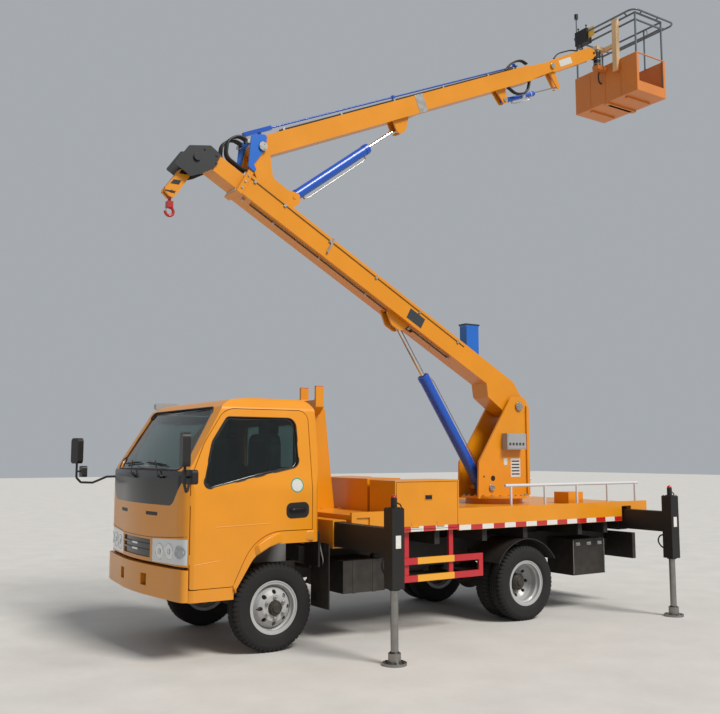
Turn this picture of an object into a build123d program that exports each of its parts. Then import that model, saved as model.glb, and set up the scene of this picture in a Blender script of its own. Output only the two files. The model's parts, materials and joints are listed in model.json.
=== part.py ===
from build123d import *
import math
import os

# Articulated aerial work platform on a light cab-over truck.
# All sizes are in millimetres. Places are measured from the centre of the front axle on the
# ground: +X forward, +Y to the truck's left, +Z up. write_node shifts them to the part's origin.

# Driving dimensions of the truck
FRONT_AXLE_X = 2480.8
WHEELBASE = 2850
REAR_AXLE_X = -WHEELBASE
WHEEL_RADIUS = 375
TYRE_WIDTH = 185
FRONT_WHEEL_Y = 720
KINGPIN_Y = 590
TWIN_MIDDLE_Y = 715
TWIN_SPACING = 215
RUNNING_FIT = 0.05

RAIL_OUTER_Y = 375
RAIL_WIDTH = 65
RAIL_BOTTOM = 560
RAIL_TOP = 700
RAIL_WALL = 8
RAIL_FRONT_X = 820
RAIL_REAR_X = -4650

# Driving dimensions of the cab
CAB_HALF_WIDTH = 940
CAB_REAR_X = -370
CAB_BOTTOM = 500
CAB_WALL = 45
ROOF_TOP = 2178
SCREEN_BASE_Z = 1546
FRONT_PANEL_X = 838
FRONT_PANEL_BOTTOM = 780
DOOR_GAP = 6
DOOR_HINGE = (835, 921.5)
# The windscreen at the centre: x, z and how far it falls back for each unit of height
SCREEN_SLOPE = (790, 1758, 0.62)
ROOF_EDGE_X = 430
SCREEN_BOW = 120

# Driving dimensions of the deck and the outriggers
DECK_HALF_WIDTH = 960
DECK_FRONT_X = -690
DECK_REAR_X = -4670
DECK_TOP = 1140
SKIRT_BOTTOM = 953
SKIRT_TOP = 1165
BEAM_Z = (870, 1080)
FRONT_BEAM_X = -600
REAR_BEAM_X = -4330
BEAM_HALF = 52
FRONT_LEG_Y = 1740
REAR_LEG_Y = 1545
FOOT_RADIUS = 100

# Driving dimensions of the turret and booms, as (x, z) of the pins
SLEW_X = -3230
SLEW_TOP = 1200
TURRET_HALF = 180
BOOM_PIVOT = (-3465, 2233)
LIFT_BASE = (-3040, 1315)
LIFT_EYE = (-1860, 3092)
LOWER_HEAD = (-17, 4418)
LOWER_ANGLE = 29.1
LOWER_DEPTH = 225
LOWER_HALF = 130
INNER_TOP = -40
INNER_BOTTOM = -208
INNER_HALF = 100
KNUCKLE_PIN = (-175, 4690)
UPPER_ANGLE = 24.1
UPPER_HALF = 98
UPPER_TOP = 108
UPPER_BOTTOM = -92
UPPER_LENGTH = 4050
FOLD_BASE = (-545, 4245)
FOLD_EYE = (-1895, 5262)
ELBOW_PIN = (-4230, 6530)
JIB_ANGLE = 26.4
JIB_LENGTH = 880
JIB_HALF = 65
JIB_BASE = (-3470, 5935)
JIB_EYE = (-4383, 6313)
LEVEL_PIN = (-5030, 6915)
HOOK_PIN = (719, 4117)
SWING_X = -5160
BASKET_X = (-5860, -5300)
BASKET_Y = (-520, 530)
BASKET_Z = (6320, 6830)
BASKET_RAIL_Z = 7372


def block(x, y, z):
    """A box between the two limits given for each axis."""
    middle = [(low + high) / 2 for low, high in (x, y, z)]
    size = [high - low for low, high in (x, y, z)]
    return Pos(*middle) * Box(*size)


def rounded(rows):
    """The face inside a polygon; each row is (across, up, corner radius)."""
    points = [(across, up) for across, up, _ in rows]
    return make_face(FilletPolyline(*points, radius=[row[2] for row in rows], close=True))


def moved_in(rows, inset):
    """The rows of an outline moved inwards by the inset, each corner radius to suit."""
    points = [Vector(across, up) for across, up, _ in rows]
    following = points[1:] + points[:1]
    area = sum(here.X * after.Y - after.X * here.Y for here, after in zip(points, following))
    sign = 1 if area > 0 else -1
    moved = []
    for index, here in enumerate(points):
        arriving = (here - points[index - 1]).normalized()
        leaving = (following[index] - here).normalized()
        first = Vector(-arriving.Y, arriving.X) * sign
        second = Vector(-leaving.Y, leaving.X) * sign
        place = here + (first + second) * (inset / (1 + first.dot(second)))
        convex = (arriving.X * leaving.Y - arriving.Y * leaving.X) * sign > 0
        radius = rows[index][2]
        if radius:
            radius = max(radius - inset, 2) if convex else max(radius + inset, 2)
        moved.append((place.X, place.Y, radius))
    return moved


def slab(rows, y, frame=Plane.XZ):
    """A flat plate from y[0] to y[1]; each row is (along, up, corner radius) in the frame."""
    return Pos(0, y[0], 0) * extrude(frame * rounded(rows), amount=y[1] - y[0], dir=(0, 1, 0))


def plan(rows, z):
    """A plate seen from above, from z[0] to z[1]; each row is (x, y, corner radius)."""
    return Pos(0, 0, z[0]) * extrude(rounded(rows), amount=z[1] - z[0], dir=(0, 0, 1))


def front_view(rows, x):
    """A plate seen from ahead, from x[0] to x[1]; each row is (y, z, corner radius)."""
    return Pos(x[0], 0, 0) * extrude(Plane.YZ * rounded(rows), amount=x[1] - x[0], dir=(1, 0, 0))


def bar(start, end, radius):
    """A round bar between two points."""
    run = Vector(*end) - Vector(*start)
    place = Plane(origin=start, z_dir=run)
    return place.location * Pos(0, 0, run.length / 2) * Cylinder(radius, run.length)


def cross_bar(place, y, radius):
    """A round bar along Y at the (x, z) place, from y[0] to y[1]."""
    return bar((place[0], y[0], place[1]), (place[0], y[1], place[1]), radius)


def upright(x, y, z, radius):
    """A vertical round bar from z[0] to z[1]."""
    return bar((x, y, z[0]), (x, y, z[1]), radius)


def pipe(points, radius, bend):
    """A round tube along straight runs joined by arcs of one bend radius."""
    route = FilletPolyline(*points, radius=bend)
    start = Plane(origin=route @ 0, z_dir=route % 0)
    return sweep(start * Circle(radius), path=route)


def both_sides(shape):
    """The shape together with its mirror image across the truck's centre plane."""
    return [shape, mirror(shape, about=Plane.XZ)]


def wheel_turned(rows, y, side):
    """A ring turned about the wheel axis; rows are (radius, offset outwards) points."""
    face = make_face(Polyline(*[(radius, side * offset) for radius, offset in rows], close=True))
    ring = revolve(face, axis=Axis.Y)
    return Pos(0, side * y, WHEEL_RADIUS) * ring


def joined(*shapes):
    """One solid from overlapping or touching pieces."""
    result = shapes[0]
    for shape in shapes[1:]:
        result = result + shape
    return result


# Boom frames: local x runs along the boom, local y is square to it and upwards

def boom_frame(pin, angle, rearward=False):
    """A frame in the truck's centre plane at the pin; rearward booms run towards -X."""
    turn = math.radians(angle)
    if rearward:
        return Plane(origin=(pin[0], 0, pin[1]),
                     x_dir=(-math.cos(turn), 0, math.sin(turn)), z_dir=(0, 1, 0))
    return Plane(origin=(pin[0], 0, pin[1]),
                 x_dir=(math.cos(turn), 0, math.sin(turn)), z_dir=(0, -1, 0))


def in_frame(frame, place):
    """The (along, up) place in a boom frame of an (x, z) point of the truck."""
    local = frame.to_local_coords(Vector(place[0], 0, place[1]))
    return local.X, local.Y


def from_frame(frame, along, up):
    """The (x, z) point of the truck at an (along, up) place in a boom frame."""
    world = frame.from_local_coords(Vector(along, up, 0))
    return world.X, world.Z


LOWER = boom_frame(LOWER_HEAD, LOWER_ANGLE)
UPPER = boom_frame(KNUCKLE_PIN, UPPER_ANGLE, rearward=True)
JIB = boom_frame(ELBOW_PIN, JIB_ANGLE, rearward=True)


# Chassis

def chassis_frame():
    """Two channel rails with cross members, spring hangers and bumper brackets."""
    web = (RAIL_OUTER_Y - RAIL_WALL, RAIL_OUTER_Y)
    flange = (RAIL_OUTER_Y - RAIL_WIDTH, RAIL_OUTER_Y)
    length = (RAIL_REAR_X, RAIL_FRONT_X)
    rail = joined(block(length, web, (RAIL_BOTTOM, RAIL_TOP)),
                  block(length, flange, (RAIL_BOTTOM, RAIL_BOTTOM + RAIL_WALL)),
                  block(length, flange, (RAIL_TOP - RAIL_WALL, RAIL_TOP)))
    hangers = [(610, 500), (-610, 500), (REAR_AXLE_X + 610, 520), (REAR_AXLE_X - 610, 520)]
    for hanger_x, eye_z in hangers:
        rail = rail + slab([(hanger_x - 45, RAIL_BOTTOM + 4, 0), (hanger_x + 45, RAIL_BOTTOM + 4, 0),
                            (hanger_x + 24, eye_z - 24, 20), (hanger_x - 24, eye_z - 24, 20)],
                           (RAIL_OUTER_Y - 8, RAIL_OUTER_Y))
        rail = rail + cross_bar((hanger_x, eye_z), (RAIL_OUTER_Y - RAIL_WIDTH, RAIL_OUTER_Y - 4), 12)
    rail = rail + block((RAIL_FRONT_X - 40, 890), flange, (600, 645))
    rail = rail + block((225, 275), (295, 310), (470, 600))
    rail = rail + block((225, 275), (295, 372), (590, 600))
    rail = rail + block((-355, -305), (295, 310), (470, 600))
    rail = rail + block((-355, -305), (295, 372), (590, 600))
    frame = joined(*both_sides(rail))
    for cross_x in (780, -560, -1500, REAR_AXLE_X + 560, REAR_AXLE_X - 560, -4600):
        frame = frame + block((cross_x - 30, cross_x + 30), (-370, 370), (590, 680))
    for mount_x in (250, -330):
        frame = frame + block((mount_x - 25, mount_x + 25), (-310, 310), (470, 500))
    return frame


def engine_block():
    """The engine and gearbox as one plain mass between the rails."""
    return block((-420, 330), (-230, 230), (500, 1005))


def front_axle():
    """A dropped beam with an eye for each kingpin and a pad for each spring."""
    eye = Pos(0, KINGPIN_Y, WHEEL_RADIUS) * Cylinder(28, 90)
    beam = joined(block((-35, 35), (0, 480), (290, 365)),
                  block((-35, 35), (440, KINGPIN_Y - 5), (335, 415)),
                  block((-50, 50), (300, 384), (290, 396)), eye)
    bore = Pos(0, KINGPIN_Y, WHEEL_RADIUS) * Cylinder(14 + RUNNING_FIT, 200)
    half = beam - bore
    return joined(*both_sides(half))


def rear_axle():
    """A housing with its differential, spindles, brake plates and the drive shaft."""
    tube = bar((REAR_AXLE_X, 0, WHEEL_RADIUS), (REAR_AXLE_X, 541, WHEEL_RADIUS), 52)
    spindle = bar((REAR_AXLE_X, 540, WHEEL_RADIUS), (REAR_AXLE_X, 700, WHEEL_RADIUS), 35)
    plate = bar((REAR_AXLE_X, 533, WHEEL_RADIUS), (REAR_AXLE_X, 541, WHEEL_RADIUS), 150)
    pad = block((REAR_AXLE_X - 50, REAR_AXLE_X + 50), (300, 384), (380, 446))
    half = joined(tube, spindle, plate, pad)
    case = Pos(REAR_AXLE_X, 0, WHEEL_RADIUS) * Sphere(150)
    nose = bar((REAR_AXLE_X, 0, WHEEL_RADIUS), (REAR_AXLE_X + 260, 0, WHEEL_RADIUS + 15), 60)
    shaft = bar((REAR_AXLE_X + 250, 0, WHEEL_RADIUS + 14), (-424, 0, 548), 34)
    return joined(*both_sides(half), case, nose, shaft)


def leaf_pack(middle_x, half_length, eye_z, seat_z, leaves):
    """Curved leaves, each shorter than the one above, that bear on the axle's pad."""
    leaf = 12
    pack = None
    for index in range(leaves):
        reach = half_length - 110 * index
        drop = seat_z + (leaf - 1) * (leaves - 1 - index)
        rise = (eye_z - seat_z - (leaf - 1) * (leaves - 1)) * (reach / half_length) ** 2
        low = ThreePointArc((middle_x - reach, drop + rise), (middle_x, drop),
                            (middle_x + reach, drop + rise))
        high = ThreePointArc((middle_x + reach, drop + rise + leaf), (middle_x, drop + leaf),
                             (middle_x - reach, drop + rise + leaf))
        right = Line((middle_x + reach, drop + rise), (middle_x + reach, drop + rise + leaf))
        left = Line((middle_x - reach, drop + rise + leaf), (middle_x - reach, drop + rise))
        face = Plane.XZ * make_face(Curve() + [low, right, high, left])
        piece = Pos(0, RAIL_OUTER_Y - RAIL_WIDTH + 2, 0) * extrude(face, amount=54, dir=(0, 1, 0))
        pack = piece if pack is None else pack + piece
    return pack


def sprung_axle(axle, middle_x, half_length, eye_z, seat_z):
    """An axle with a leaf pack on each pad; the top leaf's eyes go round the hanger pins."""
    pack = leaf_pack(middle_x, half_length, eye_z - 6, seat_z, 4)
    for eye_x in (middle_x - half_length - 10, middle_x + half_length + 10):
        pack = pack + cross_bar((eye_x, eye_z), (RAIL_OUTER_Y - 63, RAIL_OUTER_Y - 9), 22)
        pack = pack - cross_bar((eye_x, eye_z), (0, 500), 12 + RUNNING_FIT)
    return joined(axle, *both_sides(pack))


# Wheels and steering

RIM_ROWS = [(227, -80), (227, -73), (205, -68), (205, -34), (190, -24), (190, 24), (205, 34),
            (205, 68), (227, 73), (227, 80), (218, 80), (218, 76), (197, 72), (197, 40),
            (182, 28), (182, -28), (197, -40), (197, -72), (218, -76), (218, -80)]
TYRE_ROWS = [(205.5, -67), (228, -73), (252, -88), (292, -92.5), (335, -86), (364, -74),
             (375, -56), (375, 56), (364, 74), (335, 86), (292, 92.5), (252, 88), (228, 73),
             (205.5, 67)]
FRONT_DISC_ROWS = [(184, 2), (184, 14), (150, 66), (112, 96), (55, 98), (55, 86), (108, 84),
                   (142, 56), (172, 2)]
REAR_DISC_ROWS = [(184, -38), (184, -26), (160, -62), (112, -96), (60, -97), (60, -107.4),
                  (118, -107.4), (170, -70), (176, -38)]


def vent_holes(y, side, ring_radius, hole_radius, count, width):
    """Round holes through a wheel disc, evenly spaced about the wheel axis."""
    holes = []
    for index in range(count):
        turn = math.radians(360 * index / count)
        centre_x = ring_radius * math.cos(turn)
        centre_z = WHEEL_RADIUS + ring_radius * math.sin(turn)
        ends = sorted((side * (y - width), side * (y + width)))
        holes.append(cross_bar((centre_x, centre_z), ends, hole_radius))
    return holes


def front_rim(side):
    """Rim, convex disc with vent holes, brake drum and hub of one front wheel."""
    rim = wheel_turned(RIM_ROWS, FRONT_WHEEL_Y, side)
    disc = wheel_turned(FRONT_DISC_ROWS, FRONT_WHEEL_Y, side)
    for hole in vent_holes(FRONT_WHEEL_Y + 60, side, 133, 19, 8, 50):
        disc = disc - hole
    hub = wheel_turned([(25 + RUNNING_FIT, -62), (150, -62), (150, -4), (120, 4), (72, 12),
                        (66, 100), (52, 128), (0, 128), (0, 20), (25 + RUNNING_FIT, 20)],
                       FRONT_WHEEL_Y, side)
    return rim + disc + hub


def tyre(y, side):
    """A radial tyre, seated on its rim."""
    return wheel_turned(TYRE_ROWS, y, side)


def rear_rims(side):
    """The two rims of a twin wheel, bolted disc to disc, with their drum and hub."""
    outer_y = TWIN_MIDDLE_Y + TWIN_SPACING / 2
    inner_y = TWIN_MIDDLE_Y - TWIN_SPACING / 2
    inner_rows = [(radius, -offset) for radius, offset in REAR_DISC_ROWS]
    outer = wheel_turned(RIM_ROWS, outer_y, side) + wheel_turned(REAR_DISC_ROWS, outer_y, side)
    inner = wheel_turned(RIM_ROWS, inner_y, side) + wheel_turned(inner_rows, inner_y, side)
    hub = wheel_turned([(35 + RUNNING_FIT, -160), (150, -160), (150, -60), (118, -40),
                        (118, 0.1), (85, 0.1), (82, 70), (60, 92), (0, 92), (0, 0),
                        (35 + RUNNING_FIT, 0)], TWIN_MIDDLE_Y, side)
    pair = outer + inner + hub
    for hole in vent_holes(TWIN_MIDDLE_Y, side, 138, 17, 8, 40):
        pair = pair - hole
    return Pos(REAR_AXLE_X, 0, 0) * pair


def rear_tyres(side):
    """The two tyres of a twin wheel, side by side and clear of each other."""
    outer = tyre(TWIN_MIDDLE_Y + TWIN_SPACING / 2, side)
    inner = tyre(TWIN_MIDDLE_Y - TWIN_SPACING / 2, side)
    return [Pos(REAR_AXLE_X, 0, 0) * outer, Pos(REAR_AXLE_X, 0, 0) * inner]


def knuckle(side):
    """A steering knuckle: fork round the axle's eye, kingpin, stub axle and brake plate."""
    fork = joined(block((-28, 28), (KINGPIN_Y - 16, 640), (425, 450)),
                  block((-28, 28), (KINGPIN_Y - 16, 640), (300, 325)),
                  block((-28, 28), (625, 640), (300, 450)))
    kingpin = upright(0, KINGPIN_Y, (298, 452), 14)
    stub = bar((0, 630, WHEEL_RADIUS), (0, FRONT_WHEEL_Y + 16, WHEEL_RADIUS), 25)
    brake = bar((0, 638, WHEEL_RADIUS), (0, 646, WHEEL_RADIUS), 152)
    arm = block((-150, -20), (KINGPIN_Y - 16, KINGPIN_Y + 16), (300, 322))
    left = joined(fork, kingpin, stub, brake, arm)
    return left if side > 0 else mirror(left, about=Plane.XZ)


# Cab

def sloping_front(centre, level, slope, inset):
    """All that lies behind one bowed surface that leans back by its slope."""
    base, height = CAB_BOTTOM - 100, 1900
    front = centre + slope * (level - base) - inset * math.hypot(1, slope)
    bow = ThreePointArc((front - SCREEN_BOW, -1200), (front, 0), (front - SCREEN_BOW, 1200))
    back = Polyline((front - SCREEN_BOW, 1200), (-4000, 1200), (-4000, -1200),
                    (front - SCREEN_BOW, -1200))
    face = Pos(0, 0, base) * make_face(Curve() + [bow, back])
    return extrude(face, amount=height * math.hypot(1, slope), dir=(-slope, 0, 1))


CAB_SIDE_ROWS = [(CAB_REAR_X, CAB_BOTTOM, 0), (CAB_REAR_X, ROOF_TOP - 8, 110),
                 (200, ROOF_TOP, 900), (ROOF_EDGE_X, ROOF_TOP - 22, 220),
                 (ROOF_EDGE_X + 140, ROOF_TOP - 110, 100), (1200, 2000, 0),
                 (1200, CAB_BOTTOM, 0)]
CAB_PLAN_ROWS = [(CAB_REAR_X, -CAB_HALF_WIDTH - 4, 60), (850, -CAB_HALF_WIDTH - 4, 110),
                 (895, -800, 150), (985, 0, 3000), (895, 800, 150),
                 (850, CAB_HALF_WIDTH + 4, 110), (CAB_REAR_X, CAB_HALF_WIDTH + 4, 60)]
CAB_FRONT_ROWS = [(-CAB_HALF_WIDTH, CAB_BOTTOM, 0), (-CAB_HALF_WIDTH, 1390, 500),
                  (-838, 2080, 60), (-745, ROOF_TOP, 90), (745, ROOF_TOP, 90),
                  (838, 2080, 60), (CAB_HALF_WIDTH, 1390, 500), (CAB_HALF_WIDTH, CAB_BOTTOM, 0)]


def cab_form(inset):
    """The closed outer form of the cab, moved in by the inset on every side."""
    form = slab(moved_in(CAB_SIDE_ROWS, inset), (-1500, 1500))
    form = form & plan(moved_in(CAB_PLAN_ROWS, inset), (0, 3000))
    form = form & front_view(moved_in(CAB_FRONT_ROWS, inset), (-1500, 1500))
    return form & sloping_front(*SCREEN_SLOPE, inset)


ARCH_ROWS = [(-600, 928, 0), (203, 928, 330), (450, 540, 0), (450, 200, 0), (-600, 200, 0)]
INNER_ARCH_ROWS = [(-600, 1045, 0), (300, 1045, 200), (450, 800, 0), (450, 200, 0), (-600, 200, 0)]


def wheel_arches():
    """The space that both front wheels sweep under the cab."""
    return joined(slab(ARCH_ROWS, (-1000, 1000)), slab(INNER_ARCH_ROWS, (-880, 880)))


def cab_space():
    """The hollow of the cab above its floor, seat base and engine cover."""
    inside = cab_form(CAB_WALL)
    seat_base = block((-500, 540), (-1000, 1000), (400, 1105))
    footwell = block((539, 1300), (-1000, 1000), (400, 770))
    cover = block((-500, 700), (-460, 460), (400, 1105))
    return inside - seat_base - footwell - cover


DOOR_ROWS = [(-292, 2068, 90), (-292, 1037, 0), (245, 1037, 400), (461, 605, 0), (832, 605, 12),
             (832, 1490, 150), (705, 1775, 300), (505, 2068, 170)]
WINDOW_ROWS = [(-176, 1580, 70), (740, 1390, 50), (636, 1790, 200), (490, 2000, 50),
               (-166, 2000, 80)]
SCREEN_ROWS = [(-815, 1552, 90), (-722, 2088, 80), (722, 2088, 80), (815, 1552, 90)]
REAR_GLASS_ROWS = [(-520, 1560, 60), (-520, 1960, 60), (520, 1960, 60), (520, 1560, 60)]
COWL_ROWS = [(-900, 1547, 0), (-835, 1440, 60), (-700, 1262, 120), (700, 1262, 120),
             (835, 1440, 60), (900, 1547, 0)]
GRILLE_ROWS = [(-332, 812, 6), (-332, 966, 6), (332, 966, 6), (332, 812, 6)]
LAMP_ROWS = [(372, 786, 8), (372, 976, 8), (960, 1004, 8), (960, 796, 8)]
SIDE_REACH = (500, 1100)


def side_region(rows, amount=0):
    """A region seen from the left, cut through the left side of the cab."""
    return slab(moved_in(rows, -amount), SIDE_REACH)


def front_region():
    """What lies ahead of the doors and above the bumper."""
    return block((FRONT_PANEL_X, 1300), (-1000, 1000), (FRONT_PANEL_BOTTOM, SCREEN_BASE_Z))


def below_front():
    """The space that the bumper fills."""
    return block((FRONT_PANEL_X, 1300), (-1000, 1000), (300, FRONT_PANEL_BOTTOM))


def door_relief(top):
    """The space round both hinge lines that the doors' front edges sweep."""
    return joined(*both_sides(upright(*DOOR_HINGE, (597, top), 78)))


def hinge_pins():
    """Two hinge tabs on the door's front edge, each with its round pin on the hinge line."""
    hinge_x, hinge_y = DOOR_HINGE
    pieces = []
    for z in ((800, 880), (1270, 1350)):
        pieces.append(block((hinge_x - 9, hinge_x), (hinge_y - 2.5, hinge_y + 2.5), z))
        pieces.append(upright(hinge_x, hinge_y, z, 2.6))
    return pieces


def cab_nodes():
    """The cab's shell, front panel, cowl, doors, lamps and glass."""
    outer = cab_form(0)
    wall_inside = cab_form(CAB_WALL)
    body = outer - cab_space() - wheel_arches() - block((-500, 640), (-430, 430), (300, 1045))
    body = body - block((639, 980), (-430, 430), (300, 715))
    screen_hole = front_view(SCREEN_ROWS, (400, 1200))
    rear_hole = front_view(REAR_GLASS_ROWS, (-420, -280))
    cowl = front_view(COWL_ROWS, (838, 1200))
    door_hole = side_region(DOOR_ROWS, DOOR_GAP) - cab_form(CAB_WALL + DOOR_GAP)
    door_holes = joined(*both_sides(door_hole))
    shell = body - door_holes - screen_hole - rear_hole - front_region() - below_front()
    shell = shell - door_relief(1440)
    window = side_region(WINDOW_ROWS)
    door_left = ((outer - wall_inside) & side_region(DOOR_ROWS)) - window
    door_left = joined(door_left, *hinge_pins())
    layer = cab_form(14) - cab_form(20)
    pocket_floor = cab_form(30)
    lamp_hole = front_view(LAMP_ROWS, (FRONT_PANEL_X + 6, 1200))
    grille_hole = front_view(GRILLE_ROWS, (FRONT_PANEL_X, 1200))
    pockets = joined(*both_sides(lamp_hole), grille_hole) - pocket_floor
    front_part = (body & front_region()) - screen_hole
    front_panel = front_part - cowl - pockets
    lamp = (front_view(LAMP_ROWS, (FRONT_PANEL_X + 8, 1200)) & cab_form(1)) - pocket_floor
    bars = [block((838, 1200), (-331, 331), (z, z + 16)) for z in (858, 908)]
    backing = (grille_hole & cab_form(14)) - pocket_floor
    grille = joined(backing, *[(bar_slot & cab_form(1)) - cab_form(16) for bar_slot in bars])
    return {"cab_shell": shell, "cab_front_panel": front_panel,
            "cowl_and_mirrors": [front_part & cowl, *mirrors()],
            "cab_glass": [layer & screen_hole, layer & rear_hole],
            "grille_and_lamps": [grille, *both_sides(lamp)],
            "door_left": door_left, "door_right": mirror(door_left, about=Plane.XZ),
            "door_glass_left": layer & window,
            "door_glass_right": mirror(layer & window, about=Plane.XZ)}


def bumper():
    """The bowed front bumper with its two square openings and mounting pads."""
    corners = [(890, 925, 50), (915, 800, 150)]
    outer_rows = [(FRONT_PANEL_X + 4, -925, 0)]
    outer_rows += [(x, -y, radius) for x, y, radius in corners] + [(1012, 0, 3000)]
    outer_rows += [(x, y, radius) for x, y, radius in reversed(corners)]
    outer_rows += [(FRONT_PANEL_X + 4, 925, 0)]
    inner_rows = [(x - 55 if x > 845 else 700, y * 0.95, radius) for x, y, radius in outer_rows]
    shell = plan(outer_rows, (505, 757)) - plan(inner_rows, (480, 722))
    openings = [block((800, 1100), (y - 55, y + 55), (580, 680)) for y in (267, -267)]
    pads = both_sides(block((890, 940), (RAIL_OUTER_Y - RAIL_WIDTH, RAIL_OUTER_Y), (600, 690)))
    return joined(shell - openings[0] - openings[1], *pads)


def dashboard():
    """The dashboard across the cab under the windscreen."""
    solid = slab([(700, 1110, 0), (690, 1330, 60), (760, 1440, 60), (1100, 1490, 0),
                  (1100, 1110, 0)], (-900, 900))
    return (solid & cab_form(CAB_WALL + 1)) - door_relief(1520)


def steering_wheel():
    """The steering wheel with its three spokes and hub, tilted towards the driver."""
    ring = Torus(200, 15)
    hub = Cylinder(45, 40)
    spokes = [Rot(0, 0, turn) * Pos(110, 0, 0) * Box(190, 30, 12) for turn in (90, 210, 330)]
    column = Pos(0, 0, -120) * Cylinder(24, 220)
    wheel = joined(ring, hub, column, *spokes)
    return Pos(560, 430, 1420) * Rot(0, -32, 0) * wheel


def seats():
    """Driver's and passenger's seats on the seat base."""
    seat_list = []
    for y in (430, -430):
        cushion = block((-60, 440), (y - 250, y + 250), (1105, 1245))
        back = slab([(-60, 1150, 35), (60, 1150, 35), (-70, 1900, 45), (-190, 1900, 45)],
                    (y - 230, y + 230))
        seat_list.append(joined(cushion, back))
    return seat_list


def mirrors():
    """Two door mirrors on long tube arms and the kerb mirror above the right door."""
    arm = pipe([(850, 880, 1471), (900, 1050, 1465), (985, 1220, 1404), (1060, 1370, 1404),
                (1092, 1418, 1450), (1092, 1418, 1800)], 11, 25)
    main = front_view([(-72, -128, 38), (-72, 128, 38), (72, 128, 38), (72, -128, 38)], (-30, 30))
    wide = front_view([(-85, -55, 25), (-85, 55, 25), (85, 55, 25), (85, -55, 25)], (-25, 25))
    stay = bar((1035, 1382, 1513), (1092, 1418, 1513), 9)
    left = joined(arm - cab_form(0), stay, Pos(1092, 1418, 1720) * Rot(0, 0, -12) * main,
                  Pos(1035, 1382, 1513) * Rot(0, 0, 6) * wide)
    kerb_head = slab([(221, 2133, 24), (221, 2200, 24), (453, 2200, 24), (453, 2133, 24)],
                     (-990, -930))
    kerb = joined(kerb_head, bar((337, -780, 2110), (337, -950, 2160), 9) - cab_form(0))
    return [left, mirror(left, about=Plane.XZ), kerb]


# Load bed

def beam_casing(beam_x):
    """The four plates of a casing that an outrigger beam slides in, with its foot."""
    wide = (beam_x - 70, beam_x + 70)
    low, high = BEAM_Z[0] - 6, BEAM_Z[1] + 6
    floor = block(wide, (-900, 900), (low - 12, low))
    roof = block(wide, (-900, 900), (high, high + 12))
    front = block((beam_x + BEAM_HALF + 6, beam_x + 70), (-900, 900), (low, high))
    back = block((beam_x - 70, beam_x - BEAM_HALF - 6), (-900, 900), (low, high))
    foot = block((beam_x - 60, beam_x + 60), (-RAIL_OUTER_Y, RAIL_OUTER_Y), (830, low - 12))
    return [floor, roof, front, back, foot]


def subframe():
    """Long bearers and cross bearers over the rails, with the outrigger housings."""
    bearer = block((-4600, -480), (RAIL_OUTER_Y - 70, RAIL_OUTER_Y), (RAIL_TOP, 830))
    pieces = both_sides(bearer)
    for cross_x in (-1100, -1700, -2300, -2850, -3650, -4050):
        pieces.append(block((cross_x - 30, cross_x + 30), (-900, 900), (830, DECK_TOP - 25)))
    for beam_x in (FRONT_BEAM_X, REAR_BEAM_X):
        pieces += beam_casing(beam_x)
    pieces.append(block((SLEW_X - 330, SLEW_X + 330), (-330, 330), (830, DECK_TOP - 25)))
    return pieces


def deck():
    """The flat deck with its side skirts, end plates, outrigger notches and slew ring."""
    floor = block((DECK_REAR_X, DECK_FRONT_X), (-DECK_HALF_WIDTH, DECK_HALF_WIDTH),
                  (DECK_TOP - 25, DECK_TOP))
    low_skirt = block((DECK_REAR_X, DECK_FRONT_X), (DECK_HALF_WIDTH - 25, DECK_HALF_WIDTH),
                      (SKIRT_BOTTOM, DECK_TOP - 25))
    lip = block((DECK_REAR_X, DECK_FRONT_X), (DECK_HALF_WIDTH - 25, DECK_HALF_WIDTH),
                (DECK_TOP, SKIRT_TOP))
    ends = [block((DECK_FRONT_X - 20, DECK_FRONT_X), (-935, 935), (SKIRT_BOTTOM, DECK_TOP - 25)),
            block((DECK_REAR_X, DECK_REAR_X + 20), (-935, 935), (SKIRT_BOTTOM, DECK_TOP - 25))]
    notch = block((REAR_BEAM_X - 76, REAR_BEAM_X + 76), (900, 1000), (800, DECK_TOP - 25))
    recess = block((-885, -745), (945, 1000), (975, DECK_TOP - 25))
    box_notch = block(NEAR_BOX_X, (900, 1000), (800, 1200))
    ring = upright(SLEW_X, 0, (DECK_TOP, SLEW_TOP), 320)
    side = [*both_sides(low_skirt - notch - recess - box_notch), *both_sides(lip - box_notch)]
    floor = floor - block(NEAR_BOX_X, (DECK_HALF_WIDTH - 25, 1000), (1100, 1150))
    floor = floor - block(NEAR_BOX_X, (-1000, 25 - DECK_HALF_WIDTH), (1100, 1150))
    floor = floor + block((-2620, -1960), (-820, 820), (DECK_TOP, DECK_TOP + 3))
    return [floor, *side, *ends, ring]


NEAR_BOX_X = (-1922, -1160)


def deck_boxes():
    """Tool boxes on the deck: one along each edge, a cross box between and a small rear box."""
    low_x, high_x = NEAR_BOX_X
    upper = block((low_x + 2, high_x - 2), (545, 968), (DECK_TOP, 1440))
    lower = block((low_x + 2, high_x - 2), (DECK_HALF_WIDTH, 968), (965, DECK_TOP + 1))
    side_box = joined(upper, lower)
    cross = block((-1560, -1165), (-500, 500), (DECK_TOP, 1450))
    small = block((-3990, -3760), (420, 640), (DECK_TOP, 1265))
    return [*both_sides(side_box), cross, small]


def boom_rest():
    """The cradle behind the cab that carries the stowed boom."""
    column = slab([(-1060, DECK_TOP, 0), (-640, DECK_TOP, 0), (-710, 1600, 40), (-765, 2150, 40),
                   (-945, 2150, 40), (-1005, 1600, 40)], (-60, 60))
    horns = front_view([(-164, 2150, 20), (-164, 2360, 12), (-137, 2360, 10), (-137, 2220, 20),
                        (137, 2220, 20), (137, 2360, 10), (164, 2360, 12), (164, 2150, 20),
                        (80, 2080, 20), (-80, 2080, 20)], (-870, -780))
    return joined(column, horns)


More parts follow.
